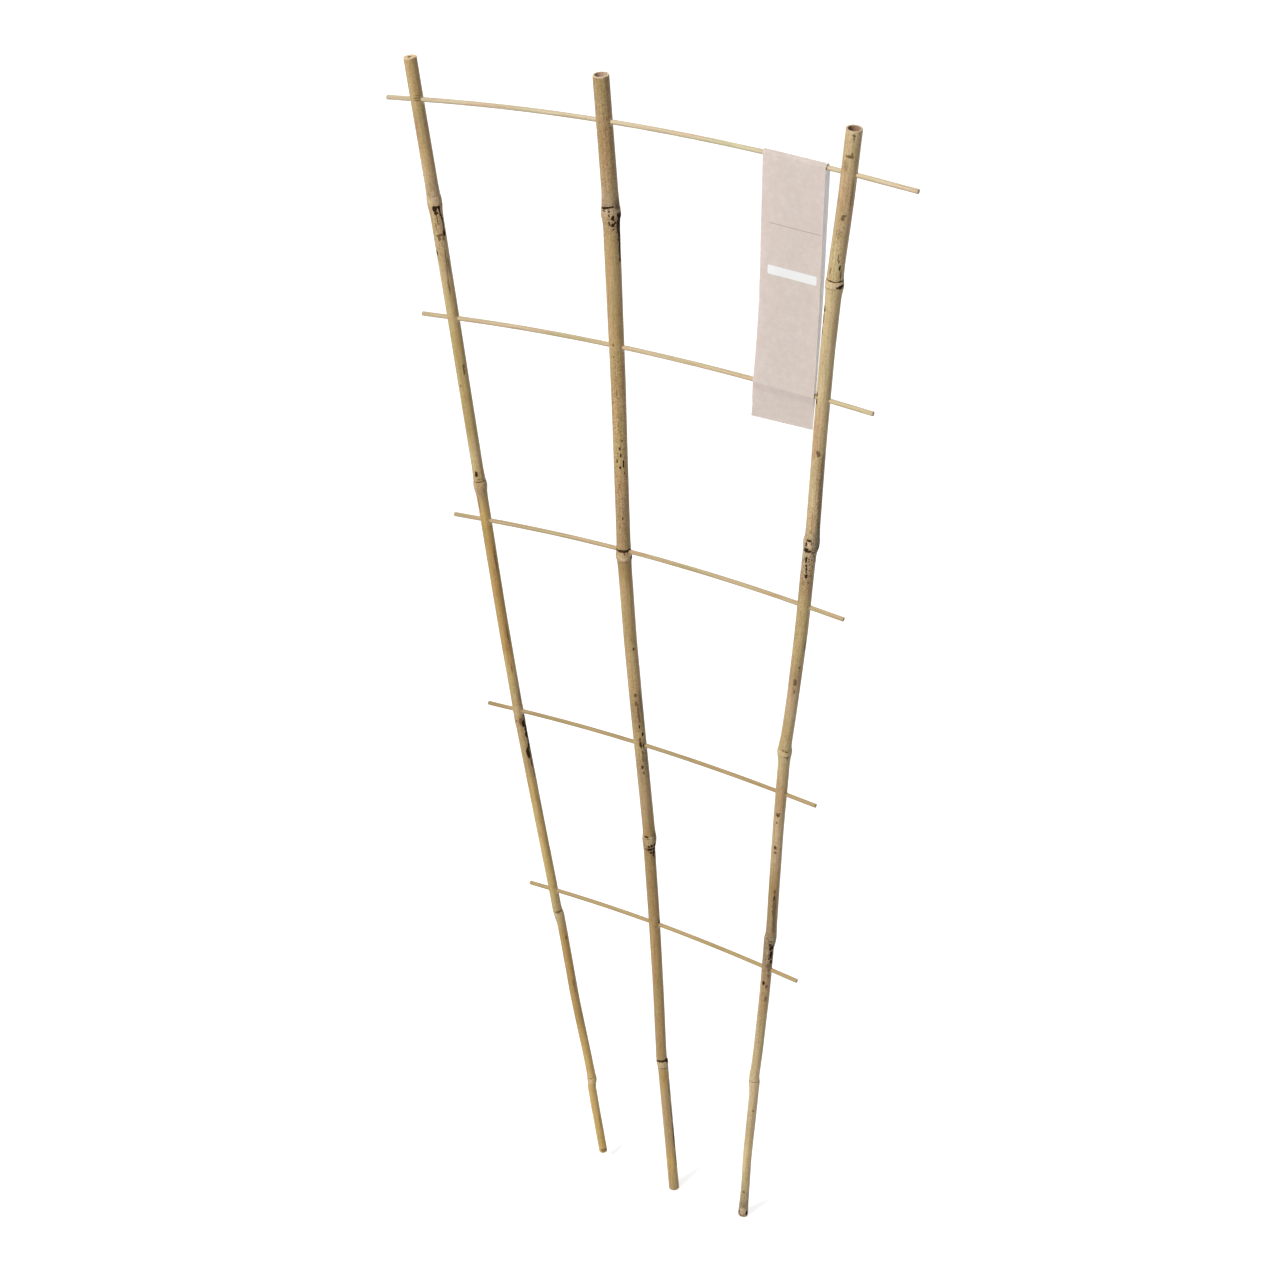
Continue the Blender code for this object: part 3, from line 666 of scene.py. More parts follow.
def graded(start, end, places):
    """Heights from start to end, in fine steps near the places."""
    places = np.asarray(places)
    heights = [start]
    while heights[-1] < end - FINE_STEP:
        near = np.min(np.abs(places - heights[-1]))
        share = float(smoothstep(FINE_REACH, 2.2 * FINE_REACH, near))
        heights.append(heights[-1] + FINE_STEP + (COARSE_STEP - FINE_STEP) * share)
    heights[-1] = end
    return heights


# Rings of a cane's cut ends. Foot: share of the radius, rise over the cut and raggedness in mm,
# from the pith outwards. Top: share of the wall from outside, drop and raggedness, going inwards.
# Bore floor: share of the bore's radius and rise over the floor.
FOOT_FACE = ((0.28, 1.6, 0.1), (0.34, 0.5, 0.08), (0.42, 0.02, 0.04), (0.70, 0, 0.04),
             (0.94, 0, 0.05))
TOP_FACE = ((0.08, 0, 0.06), (0.30, 0, 0.04), (0.60, 0.05, 0.06), (0.93, 0, 0.05))
BORE_FLOOR = ((0.8, 0.35), (0.4, 0.1))
# The bore's wall: how far from the top and from its floor its rings start and end, how uneven
# it is, as a share of its radius, and how ragged along it in mm
BORE_EDGE, BORE_TOP, BORE_END = 0.35 * MM, 3 * MM, 1 * MM
BORE_RINGS = 28
BORE_UNEVEN, BORE_RAGGED = 0.02, 0.05
CUT_EDGE = 0.25 * MM
PITH_DEPTH = 2.2 * MM
# Depth of the skin's pale edge at the cuts, from where it fades to where it is whole
TOP_PALE = (1.4 * MM, 0.2 * MM)
FOOT_PALE = (1.6 * MM, 0.2 * MM)
CUT_PALE = 0.5
# The cutter of a hole: how far it reaches past the skin, how much it flares and over what length
# at each end
CUTTER_PAST = 2.5 * MM
CUTTER_RINGS = 9
FLARE = 0.18 * MM
FLARE_LENGTH = 3.4 * MM
SKIN, CUT_WOOD, BORE_WALL = 0, 1, 2


def make_cane(line, materials):
    ends = line.ends
    fine_places = [height for upper, lower, _ in line.nodes for height in (upper, lower)]
    fine_places += [height for _, height, _ in line.holes]
    fine_places += [height for _, height, _, tall, _, _ in line.marks if tall < LONG_MARK]
    fine_places += [ends.foot, ends.top]
    outer = graded(ends.foot + CUT_EDGE, ends.top - CUT_EDGE, fine_places)
    angles = np.arange(CANE_SIDES) * 2 * math.pi / CANE_SIDES
    heights, turns = np.repeat(outer, CANE_SIDES), np.tile(angles, len(outer))
    skin = line.place(heights, turns, line.surface_radius(heights, turns))

    circle = np.stack([np.cos(angles), np.sin(angles), angles * 0], -1)
    saw = noise_field(circle, (400, 400, 400), 11)

    def ring(height, radius, shift=0.0, ragged=0.0):
        return line.place(height + ragged * MM * saw, angles, radius, shift)

    foot_radius, top_radius = float(line.radius(ends.foot)), float(line.radius(ends.top))
    wall, bore, shift = top_radius - ends.bore_radius, ends.bore_radius, ends.bore_shift
    down = (ends.top - BORE_EDGE,
            *np.linspace(ends.top - BORE_TOP, ends.bore_foot + BORE_END, BORE_RINGS))
    foot = [ring(ends.foot + rise * MM, foot_radius * share, 0.0, ragged)
            for share, rise, ragged in FOOT_FACE]
    top = [ring(ends.top - drop * MM, top_radius - share * wall, shift * share, ragged)
           for share, drop, ragged in TOP_FACE]
    inner = [ring(height, bore * (1 + BORE_UNEVEN * saw), shift, BORE_RAGGED) for height in down]
    inner += [ring(ends.bore_foot + rise * MM, bore * share, shift) for share, rise in BORE_FLOOR]
    kinds = ([CUT_WOOD] * len(foot) + [SKIN] * (len(outer) - 1) + [CUT_WOOD] * len(top)
             + [BORE_WALL] * len(inner))

    chain = np.concatenate([foot, skin.reshape(len(outer), CANE_SIDES, 3), top, inner])
    points = list(chain.reshape(-1, 3))
    faces = ring_faces(len(chain), CANE_SIDES)
    indices = np.repeat(kinds, CANE_SIDES).tolist()
    pith, floor_middle = len(points), len(points) + 1
    points.append(line.place(ends.foot + PITH_DEPTH, 0.0, 0.0))
    points.append(line.place(ends.bore_foot, 0.0, 0.0, shift))
    last = (len(chain) - 1) * CANE_SIDES
    for side in range(CANE_SIDES):
        after = (side + 1) % CANE_SIDES
        faces.append((pith, after, side))
        faces.append((floor_middle, last + side, last + after))
        indices += [CUT_WOOD, BORE_WALL]
    cane = object_from(line.name + "_skin", points, faces, indices)
    for material in materials:
        cane.data.materials.append(material)
    drill_holes(cane, line, materials[CUT_WOOD])
    paint_cane(cane.data, line)
    settle(cane, "frame", line.name)


def drill_holes(cane, line, material):
    """Cut the crossbar holes with slightly uneven tubes that flare at their ends."""
    points, faces = [], []
    for x, height, slope in line.holes:
        direction = np.array([1.0, 0.0, slope]) / math.hypot(1.0, slope)
        up = np.array([-slope, 0.0, 1.0]) / math.hypot(1.0, slope)
        front = np.array([0.0, -1.0, 0.0])
        reach = float(line.radius(height)) + CUTTER_PAST
        start = len(points)
        stations = np.linspace(-reach, reach, CUTTER_RINGS)
        for station in stations:
            flare = FLARE * smoothstep(reach - FLARE_LENGTH, reach, abs(station))
            for side in range(CUTTER_SIDES):
                turn = 2 * math.pi * (side + 0.37) / CUTTER_SIDES
                radius = HOLE_RADIUS + flare * (1 + 0.5 * math.sin(5 * turn + 9 * height))
                point = np.array([x, 0.0, height]) + direction * station
                points.append(point + radius * (math.cos(turn) * up + math.sin(turn) * front))
        faces += [tuple(start + index for index in face)
                  for face in ring_faces(len(stations), CUTTER_SIDES)]
        last = start + (len(stations) - 1) * CUTTER_SIDES
        faces.append(tuple(range(start, start + CUTTER_SIDES))[::-1])
        faces.append(tuple(range(last, last + CUTTER_SIDES)))
    drill = object_from("drill", points, faces)
    drill.data.materials.append(material)
    make_outward(drill.data)
    make_outward(cane.data)
    modifier = cane.modifiers.new("holes", "BOOLEAN")
    modifier.operation = "DIFFERENCE"
    modifier.solver = "EXACT"
    modifier.material_mode = "TRANSFER"
    modifier.object = drill
    bpy.context.view_layer.update()
    drilled = cane.evaluated_get(bpy.context.evaluated_depsgraph_get())
    mesh = bpy.data.meshes.new_from_object(drilled)
    cane.modifiers.clear()
    cane.data = mesh
    bpy.data.objects.remove(drill, do_unlink=True)


def paint_cane(mesh, line):
    """Write what the skin's material reads at each vertex."""
    places = np.empty(len(mesh.vertices) * 3)
    mesh.vertices.foreach_get("co", places)
    height, angle, distance = line.about_axis(places.reshape(-1, 3))
    masks, _ = line.mark_masks(height, angle)
    node_line, ring, _ = line.node_masks(height, angle)
    torn, _ = line.hole_masks(height, angle)
    tone = TONE_GAIN * line.along_rows(ZONES[line.name], height)
    near_top = smoothstep(*(line.ends.top - depth for depth in TOP_PALE), height)
    near_foot = smoothstep(*(line.ends.foot + depth for depth in FOOT_PALE), height)
    at_cuts = CUT_PALE * np.maximum(near_top, near_foot)
    pale = np.maximum(np.maximum(ring, masks["pale"]), at_cuts)
    write_attributes(
        mesh, tone=np.c_[tone, np.ones(len(tone))], grain=line.straightened(height, angle),
        scar=masks["scar"], stain=masks["stain"], grey=masks["grey"], line=node_line, pale=pale,
        torn=torn, fleck=line.along_rows(FLECKS[line.name], height),
        depth=distance / line.radius(height))


# Specular level of the surfaces, and of the dull marks on the skin
GLOSS = 0.30
DULL = 0.03


class Graph:
    """The nodes of a material or a world, written as short expressions."""

    def __init__(self, name, shader="Principled BSDF", kind=bpy.data.materials):
        self.owner = kind.new(name)
        self.owner.use_nodes = True
        self.tree = self.owner.node_tree
        self.shader = self.tree.nodes[shader]

    def add(self, kind, inputs=(), **settings):
        """A new node's outputs; its inputs are given by name or number."""
        node = self.tree.nodes.new("ShaderNode" + kind)
        for name, value in settings.items():
            setattr(node, name, value)
        self.feed(node, inputs)
        return node.outputs

    def feed(self, node, inputs):
        for name, value in dict(inputs).items():
            if hasattr(value, "links"):
                self.tree.links.new(value, node.inputs[name])
            else:
                node.inputs[name].default_value = value

    def attribute(self, name, output="Fac"):
        return self.add("Attribute", attribute_name=name)[output]

    def rays(self, *kinds):
        """1 for rays of these kinds, 0 for others."""
        path = self.add("LightPath")
        return reduce(self.most, [path[f"Is {kind} Ray"] for kind in kinds])

    def stretched(self, vector, sizes, shift=(0, 0, 0)):
        """A vector counted in grains of the given sizes."""
        scale = tuple(1 / (size * MM) for size in sizes)
        return self.add("Mapping", {"Vector": vector, "Scale": scale, "Location": shift})[0]

    def noise(self, vector, sizes, detail=2.0, shift=(0, 0, 0), rough=0.5):
        return self.add("TexNoise", {"Vector": self.stretched(vector, sizes, shift), "Scale": 1.0,
                                     "Detail": detail, "Roughness": rough})["Fac"]

    def ramp(self, value, low, high, to_low=0.0, to_high=1.0):
        return self.add("MapRange", {"Value": value, "From Min": low, "From Max": high,
                                     "To Min": to_low, "To Max": to_high},
                        interpolation_type="SMOOTHSTEP")["Result"]

    def math(self, operation, first, second=0.0):
        return self.add("Math", {0: first, 1: second}, operation=operation)[0]

    plus = partialmethod(math, "ADD")
    minus = partialmethod(math, "SUBTRACT")
    times = partialmethod(math, "MULTIPLY")
    most = partialmethod(math, "MAXIMUM")

    def mix(self, share, first, second, blend="MIX"):
        first, second = (value if hasattr(value, "links") else (*value, 1.0)
                         for value in (first, second))
        return self.add("Mix", {0: share, 6: first, 7: second}, data_type="RGBA",
                        blend_type=blend)[2]

    def layers(self, colour, *layers, blend="MIX"):
        """A colour under others: (source, where it starts, where it is full, share, other)."""
        for source, low, high, share, other in layers:
            colour = self.mix(self.ramp(source, low, high, 0.0, share), colour, other, blend)
        return colour

    def bump(self, *layers):
        """Normal of bumps over each other, each (height, its distance in mm, strength)."""
        under = {}
        for height, distance, strength in layers:
            normal = self.add("Bump", {"Height": height, "Distance": distance * MM,
                                       "Strength": strength, **under})["Normal"]
            under = {"Normal": normal}
        return normal

    def finish(self, colour, roughness, normal, gloss=GLOSS):
        self.feed(self.shader, {"Specular IOR Level": GLOSS})
        self.feed(self.shader, {"Base Color": colour, "Roughness": roughness, "Normal": normal,
                                "Specular IOR Level": gloss})
        return self.owner


SCAR_COLOUR = (0.030, 0.017, 0.008)
STAIN_COLOUR = (0.140, 0.076, 0.026)
GREY_COLOUR = (0.205, 0.170, 0.122)
PALE_COLOUR = (0.660, 0.510, 0.315)
TORN_COLOUR = (0.720, 0.560, 0.390)
LINE_COLOUR = (0.045, 0.022, 0.012)
DUST_COLOUR = (0.230, 0.150, 0.080)


def skin_material(name, seed):
    """Bamboo skin: waxy, finely streaked along the cane, flecked, scarred at the nodes."""
    g = Graph(name)
    grain = g.attribute("grain", "Vector")
    fleck = g.attribute("fleck")
    shift = (seed * 3.1, seed * 1.7, seed * 9.3)
    streaks = g.noise(grain, (1.0, 1.0, 38), 3, shift)
    fibres = g.noise(grain, (0.28, 0.28, 9), 3, shift)
    broad = g.noise(grain, (5, 5, 60), 2, shift)
    mottle = g.noise(grain, (3.2, 3.2, 6), 4, shift, 0.6)
    tiny = g.noise(grain, (0.45, 0.45, 1.0), 2, shift)
    grainy = g.noise(grain, (0.75, 0.75, 1.25), 2, shift)
    spots = g.noise(grain, (0.8, 0.8, 1.9), 2, (seed, 4.0, 2.0))
    hue = g.noise(grain, (2.6, 2.6, 24), 2, (seed * 2.3, 4.0, 1.0))

    colour = g.layers(
        g.attribute("tone", "Color"),
        (broad, 0.35, 0.65, 0.6, (0.90, 0.92, 0.84)), (hue, 0.50, 0.68, 0.8, (1.05, 0.94, 0.98)),
        (hue, 0.48, 0.32, 0.8, (0.94, 1.00, 0.88)), (streaks, 0.44, 0.68, 0.6, (0.76, 0.68, 0.58)),
        (streaks, 0.46, 0.28, 0.6, (1.14, 1.14, 1.16)),
        (mottle, 0.45, 0.70, 0.5, (0.82, 0.72, 0.64)),
        (fibres, 0.40, 0.70, 0.30, (0.70, 0.62, 0.52)), blend="MULTIPLY")
    for low, high, tint in ((0.50, 0.64, (0.74, 0.62, 0.52)), (0.48, 0.36, (1.16, 1.15, 1.12))):
        share = g.times(fleck, g.ramp(grainy, low, high))
        colour = g.mix(share, colour, tint, "MULTIPLY")

    pale = g.times(g.attribute("pale"), g.ramp(tiny, 0.25, 0.50, 0.70, 1.0))
    colour = g.mix(pale, colour, PALE_COLOUR)
    edge = g.minus(0.735, g.times(fleck, 0.125))
    colour = g.layers(colour, (g.minus(spots, edge), 0.0, 0.035, 0.75, STAIN_COLOUR))
    dust = g.times(g.ramp(tiny, 0.52, 0.66), g.times(fleck, 0.25))
    colour = g.mix(dust, colour, DUST_COLOUR)
    grey = g.times(g.attribute("grey"), g.ramp(grainy, 0.34, 0.60, 0.45, 1.0))
    colour = g.mix(grey, colour, GREY_COLOUR)

    ragged = g.ramp(tiny, 0.3, 0.7, -0.20, 0.20)
    stain, scar = (g.plus(g.attribute(name), ragged) for name in ("stain", "scar"))
    line = g.attribute("line")
    line_cover = g.ramp(line, 0.34, 0.75, 0.0, 0.97)
    scar_cover = g.ramp(scar, 0.34, 0.78, 0.0, 0.97)
    torn = g.times(g.attribute("torn"), g.ramp(fibres, 0.3, 0.6, 0.55, 1.0))
    colour = g.layers(colour, (stain, 0.10, 0.80, 0.95, STAIN_COLOUR),
                      (line, 0.05, 0.45, 0.65, STAIN_COLOUR))
    colour = g.mix(line_cover, colour, LINE_COLOUR)
    colour = g.mix(torn, colour, TORN_COLOUR)
    colour = g.layers(colour, (scar, 0.05, 0.40, 0.85, STAIN_COLOUR))
    colour = g.mix(scar_cover, colour, SCAR_COLOUR)

    roughness = g.plus(g.ramp(streaks, 0.3, 0.7, 0.42, 0.56), g.times(scar_cover, 0.30))
    roughness = g.plus(roughness, g.times(pale, 0.12))
    normal = g.bump((fibres, 0.030, 0.7), (streaks, 0.10, 0.7), (mottle, 0.10, 0.5),
                    (g.times(scar_cover, -1.0), 0.12, 1.0))
    dull = g.most(g.most(scar_cover, line_cover), grey)
    return g.finish(colour, roughness, normal, g.ramp(dull, 0.0, 0.8, GLOSS, DULL))


CUT_TONES = {"left_cane": (0.72, 0.55, 0.33), "centre_cane": (0.76, 0.62, 0.42),
             "right_cane": (0.60, 0.46, 0.30)}
CUT_SHADE = (0.72, 0.66, 0.56)
BUNDLE_COLOUR = (0.22, 0.13, 0.06)
SOOT_COLOUR = (0.26, 0.18, 0.11)
BORE_TONES = {"left_cane": (0.22, 0.13, 0.07), "centre_cane": (0.60, 0.44, 0.33),
              "right_cane": (0.36, 0.23, 0.15)}
BORE_SHADE = (0.7, 0.62, 0.55)
BLOT_COLOUR = (0.18, 0.11, 0.07)


def cut_material(name, tone, seed):
    """Sawn bamboo: pale wood with the dark dots of its fibre bundles, denser near the skin."""
    g = Graph(name)
    place = g.add("TexCoord")["Object"]
    bundles = g.add("TexVoronoi", {"Vector": g.stretched(place, (0.42, 0.42, 1.4)),
                                   "Scale": 1.0}, feature="F1")["Distance"]
    fuzz = g.noise(place, (0.5, 0.5, 0.5), 4, (seed, 0, 0))
    soot = g.noise(g.attribute("grain", "Vector"), (3.5, 3.5, 5), 3, (seed, 2, 5))
    rim = g.ramp(g.attribute("depth"), 0.62, 1.0)
    dots = g.times(g.ramp(bundles, 0.38, 0.20), g.plus(0.25, g.times(rim, 0.55)))
    colour = g.layers(tone, (fuzz, 0.35, 0.7, 0.5, np.multiply(tone, CUT_SHADE)))
    colour = g.mix(dots, colour, BUNDLE_COLOUR)
    colour = g.layers(colour, (soot, 0.48, 0.75, 0.6, SOOT_COLOUR))
    normal = g.bump((fuzz, 0.15, 0.9), (bundles, 0.08, 0.6))
    return g.finish(colour, g.ramp(fuzz, 0.2, 0.8, 0.72, 0.9), normal)


def bore_material(name, tone, seed):
    """Inner wall of a cane: papery pith with brown streaks."""
    g = Graph(name)
    grain = g.attribute("grain", "Vector")
    streaks = g.noise(grain, (0.8, 0.8, 18), 3, (seed, 1, 0))
    blots = g.noise(grain, (2.5, 2.5, 7), 3, (seed, 7, 3))
    colour = g.layers(tone, (streaks, 0.35, 0.7, 0.6, np.multiply(tone, BORE_SHADE)),
                      (blots, 0.50, 0.80, 0.5, BLOT_COLOUR))
    return g.finish(colour, g.ramp(blots, 0.3, 0.7, 0.75, 0.9), g.bump((streaks, 0.15, 0.9)))


def cane_materials(name, seed):
    plain = name.split("_")[0]
    return (
        skin_material(f"bamboo_skin_{plain}", seed),
        cut_material(f"bamboo_cut_{plain}", CUT_TONES[name], seed),
        bore_material(f"bamboo_bore_{plain}", BORE_TONES[name], seed),
    )


# Crossbars
BAR_SIDES = 24
BAR_STEP = 1.5 * MM
# Rings of a crossbar's end: mm from the end, share of the radius, how far the wood is sawn there
BAR_END = ((0.05, 0.55, 1.0), (0.05, 0.90, 1.0), (0.25, 0.99, 0.6))
BAR_END_LENGTH = 0.6 * MM
BAR_DISH = 0.12 * MM
# How round a crossbar is: its mean radius, as a share of BAR_RADIUS, how far that swings in
# grains of so many mm along it and of so many radians round it, and how flat its two sides are
BAR_ROUND, BAR_SWING, BAR_FLAT = 0.975, 0.025, -0.05
SWING_GRAIN = 9 * MM
SWING_TURN = 1.4
# Tone of each crossbar, from the top down, and what tints it in places
BAR_TONES = ((0.570, 0.475, 0.314), (0.538, 0.434, 0.267), (0.488, 0.378, 0.213),
             (0.412, 0.302, 0.144), (0.453, 0.336, 0.157))
# Painted light: how far the tone goes from the left end to the right one, lighter to the right to
# even out the lamps' light along the bar
BAR_PAINTED_LIGHT_RAMP = (0.94, 1.08)
BAR_PINK = (1.03, 0.90, 0.90)
BAR_GREEN = (0.90, 1.00, 0.90)
BAR_BROWN = (0.66, 0.56, 0.46)
BAR_PALE = (1.14, 1.16, 1.20)
BAR_FLECK = (0.25, 0.14, 0.06)
BAR_SAWN = (0.36, 0.26, 0.16)


def bar_material(number):
    """Machined bamboo rod: pale, finely grained along its length, tinted here and there."""
    g = Graph(f"split_bamboo_{number}")
    grain = g.attribute("grain", "Vector")
    shift = (number * 2.3, number * 5.9, number * 1.3)
    lines = g.noise(grain, (26, 0.5, 0.5), 3, shift)
    fine = g.noise(grain, (7, 0.18, 0.18), 2, shift)
    rosy = g.noise(grain, (22, 2.4, 2.4), 2, shift)
    mossy = g.noise(grain, (34, 3.0, 3.0), 2, (number * 3.3, 8, 1))
    flecks = g.noise(grain, (2.4, 0.45, 0.45), 2, shift)
    along = g.add("SeparateXYZ", {0: grain})[0]
    # painted light: the tone rises towards the right end to even out how the lamps light the bar
    painted_light_ramp = g.ramp(along, CAD_BOX[0][0], CAD_BOX[1][0], *BAR_PAINTED_LIGHT_RAMP)
    colour = g.mix(1.0, BAR_TONES[number - 1], painted_light_ramp, "MULTIPLY")
    colour = g.layers(
        colour, (rosy, 0.46, 0.66, 0.75, BAR_PINK), (mossy, 0.50, 0.68, 0.75, BAR_GREEN),
        (lines, 0.48, 0.72, 0.75, BAR_BROWN), (fine, 0.45, 0.75, 0.45, BAR_BROWN),
        (lines, 0.44, 0.25, 0.80, BAR_PALE), blend="MULTIPLY")
    colour = g.layers(colour, (flecks, 0.66, 0.74, 0.7, BAR_FLECK),
                      (g.attribute("end"), 0.2, 0.9, 0.65, BAR_SAWN))
    normal = g.bump((lines, 0.10, 0.8), (fine, 0.04, 0.8))
    return g.finish(colour, g.ramp(lines, 0.3, 0.7, 0.50, 0.68), normal)


def make_bar(number, bar):
    """A thin rod on its crossbar's line, slightly uneven, with sawn ends."""
    inner = np.arange(bar.start + BAR_END_LENGTH, bar.end - BAR_END_LENGTH, BAR_STEP)
    stations = [(bar.start + inset * MM, share, sawn) for inset, share, sawn in BAR_END]
    stations += [(x, 1.0, 0.0) for x in inner]
    stations += [(bar.end - inset * MM, share, sawn) for inset, share, sawn in BAR_END[::-1]]
    points, grain, end = [], [], []
    for x, share, sawn in stations:
        slope, height = float(bar.slope(x)), float(bar.height(x))
        length = math.hypot(1.0, slope)
        for angle in np.arange(BAR_SIDES) * 2 * math.pi / BAR_SIDES:
            rough = noise.noise(Vector((x / SWING_GRAIN, SWING_TURN * math.cos(angle),
                                        SWING_TURN * math.sin(angle) + 3 * number)))
            flat = BAR_FLAT * max(0.0, math.cos(2 * (angle - number))) ** 3
            radius = BAR_RADIUS * share * (BAR_ROUND + BAR_SWING * rough + flat)
            out, up = radius * math.sin(angle), radius * math.cos(angle)
            points.append((x - up * slope / length, out, height + up / length))
            grain.append((x, out, up))
            end.append(sawn)
    faces = ring_faces(len(stations), BAR_SIDES)
    last = (len(stations) - 1) * BAR_SIDES
    for first, x, side_in in ((0, bar.start, 1), (last, bar.end, -1)):
        middle = len(points)
        points.append((x + side_in * BAR_DISH, 0.0, float(bar.height(x))))
        grain.append((x, 0.0, 0.0))
        end.append(1.0)
        for side in range(BAR_SIDES):
            pair = (first + side, first + (side + 1) % BAR_SIDES)
            faces.append((middle, *pair[::-side_in]))
    rod = object_from(f"{bar.node}_rod", points, faces)
    make_outward(rod.data)
    write_attributes(rod.data, grain=grain, end=end)
    rod.data.materials.append(bar_material(number))
    settle(rod, "frame", bar.node)


# Paper label, folded over the top crossbar. Places on it are counted in mm down from the
# crossbar's middle (drop) and across from the label's middle line (across).
LABEL_BOW_CENTRE = (0.018553, -0.704414)
LABEL_ANGLE = 0.064241
# Where the top crossbar's bow is measured, and about how far below it the second one lies, both
# in metres
BOW_SPAN = (0.0, 0.14)
BOW_POINTS = 29
DROP_GUESS = 0.145
# Thickness of the paper, and how far from a crossbar's middle its inner side runs
PAPER = 0.32
BAR_REACH = 1.92
# Half the gap between the legs: it narrows to BELLY, then to WAIST, so far over the second
# crossbar, and starts to widen round that crossbar at PINCH_UP over it
BELLY, WAIST, BELLY_UP, WAIST_UP, PINCH_UP = 1.60, 1.38, 75.0, 40.0, 13.0
# How far under the second crossbar the legs meet and end, and how much less at the right edge
GLUE, TAIL, TAIL_SKEW = 17.0, 25.0, 2.3
# The legs' waves, each (height, grain across, grain down, place in the noise)
WAVES = ((0.22, 16, 22, 0.0), (0.05, 5, 6, 9.0))
# Steps down the legs, and near the second crossbar
LEG_STEP, BEND_STEP, BEND_REACH = 1.6, 0.35, 4
FOLD_STEPS = 17
LABEL_COLUMNS = 56
# Edges of the two legs: (drop, across)
FRONT_LEFT = ((-2.0, -18.8), (40.0, -18.4), (91.4, -17.7), (145.7, -19.9), (169.0, -21.7))
FRONT_RIGHT = ((-2.0, 20.25), (80.7, 20.7), (144.4, 20.3), (167.0, 19.9))
BACK_LEFT = ((-2.0, -19.9), (167.0, -19.8))
BACK_RIGHT = ((-2.0, 20.25), (3.0, 20.9), (82.0, 21.1), (115.0, 20.6), (145.0, 19.6),
              (167.0, 19.4))
# White field and thin rule, as left, upper, right and lower edges
FIELD_CORNERS = (-13.1, 66.6, 18.1, 72.3)
RULE_CORNERS = (-12.75, 40.3, 19.3, 40.7)
# Painted highlight on the crease over the second crossbar and painted shade under it: mm below
# that crossbar, and half the width
CREASE_HIGHLIGHT_BAND = (-0.5, 1.2)
SHADE_UNDER_CREASE_BAND = (3.0, 3.0)


def label_profile(drop_2):
    """(drop, distance from the middle plane) down one leg, both in mm."""
    stops = [(0.0, BAR_REACH), (12.0, 1.9), (drop_2 - BELLY_UP, BELLY), (drop_2 - WAIST_UP, WAIST),
             (drop_2 - PINCH_UP, WAIST)]
    for degrees in (0, -15, -30):
        turn = math.radians(degrees)
        stops.append((drop_2 - BAR_REACH * math.sin(turn), BAR_REACH * math.cos(turn)))
    stops += [(drop_2 + GLUE, 0.02), (drop_2 + TAIL, 0.02)]
    drops = np.concatenate([
        np.arange(0.0, drop_2 - BEND_REACH, LEG_STEP),
        np.arange(drop_2 - BEND_REACH, drop_2 + BEND_REACH, BEND_STEP),
        np.arange(drop_2 + BEND_REACH, drop_2 + TAIL, LEG_STEP), [drop_2 + TAIL],
    ])
    return drops, np.interp(drops, *zip(*stops)) + PAPER / 2


def label_place(radius, drop, across, y):
    turn = LABEL_ANGLE
    x = LABEL_BOW_CENTRE[0] + (radius - drop) * np.sin(turn) + across * np.cos(turn)
    z = LABEL_BOW_CENTRE[1] + (radius - drop) * np.cos(turn) - across * np.sin(turn)
    return np.stack(np.broadcast_arrays(x, y, z), axis=-1)


def make_label(top, second):
    centre = Vector(LABEL_BOW_CENTRE)
    radius = 0.0
    for x in np.linspace(*BOW_SPAN, BOW_POINTS):
        radius += math.hypot(x - centre.x, float(top.height(x)) - centre.y) / BOW_POINTS
    drop_2 = DROP_GUESS
    for _ in range(8):
        x, _, z = label_place(radius, drop_2, 0.0, 0.0)
        drop_2 += float(z - second.height(x))
    drop_2 /= MM

    drops, gaps = label_profile(drop_2)
    fold_radius = BAR_REACH + PAPER / 2
    # (drop, distance from the middle plane, leg) from the back's tail over the fold to the front's
    path = [(drop, gap, 1) for drop, gap in zip(drops[::-1], gaps[::-1])]
    path += [(-fold_radius * math.sin(turn), fold_radius * math.cos(turn), 0)
             for turn in np.linspace(0, math.pi, FOLD_STEPS)[1:-1]]
    path += [(drop, -gap, -1) for drop, gap in zip(drops, gaps)]
    label_sheet(path, radius, drop_2)


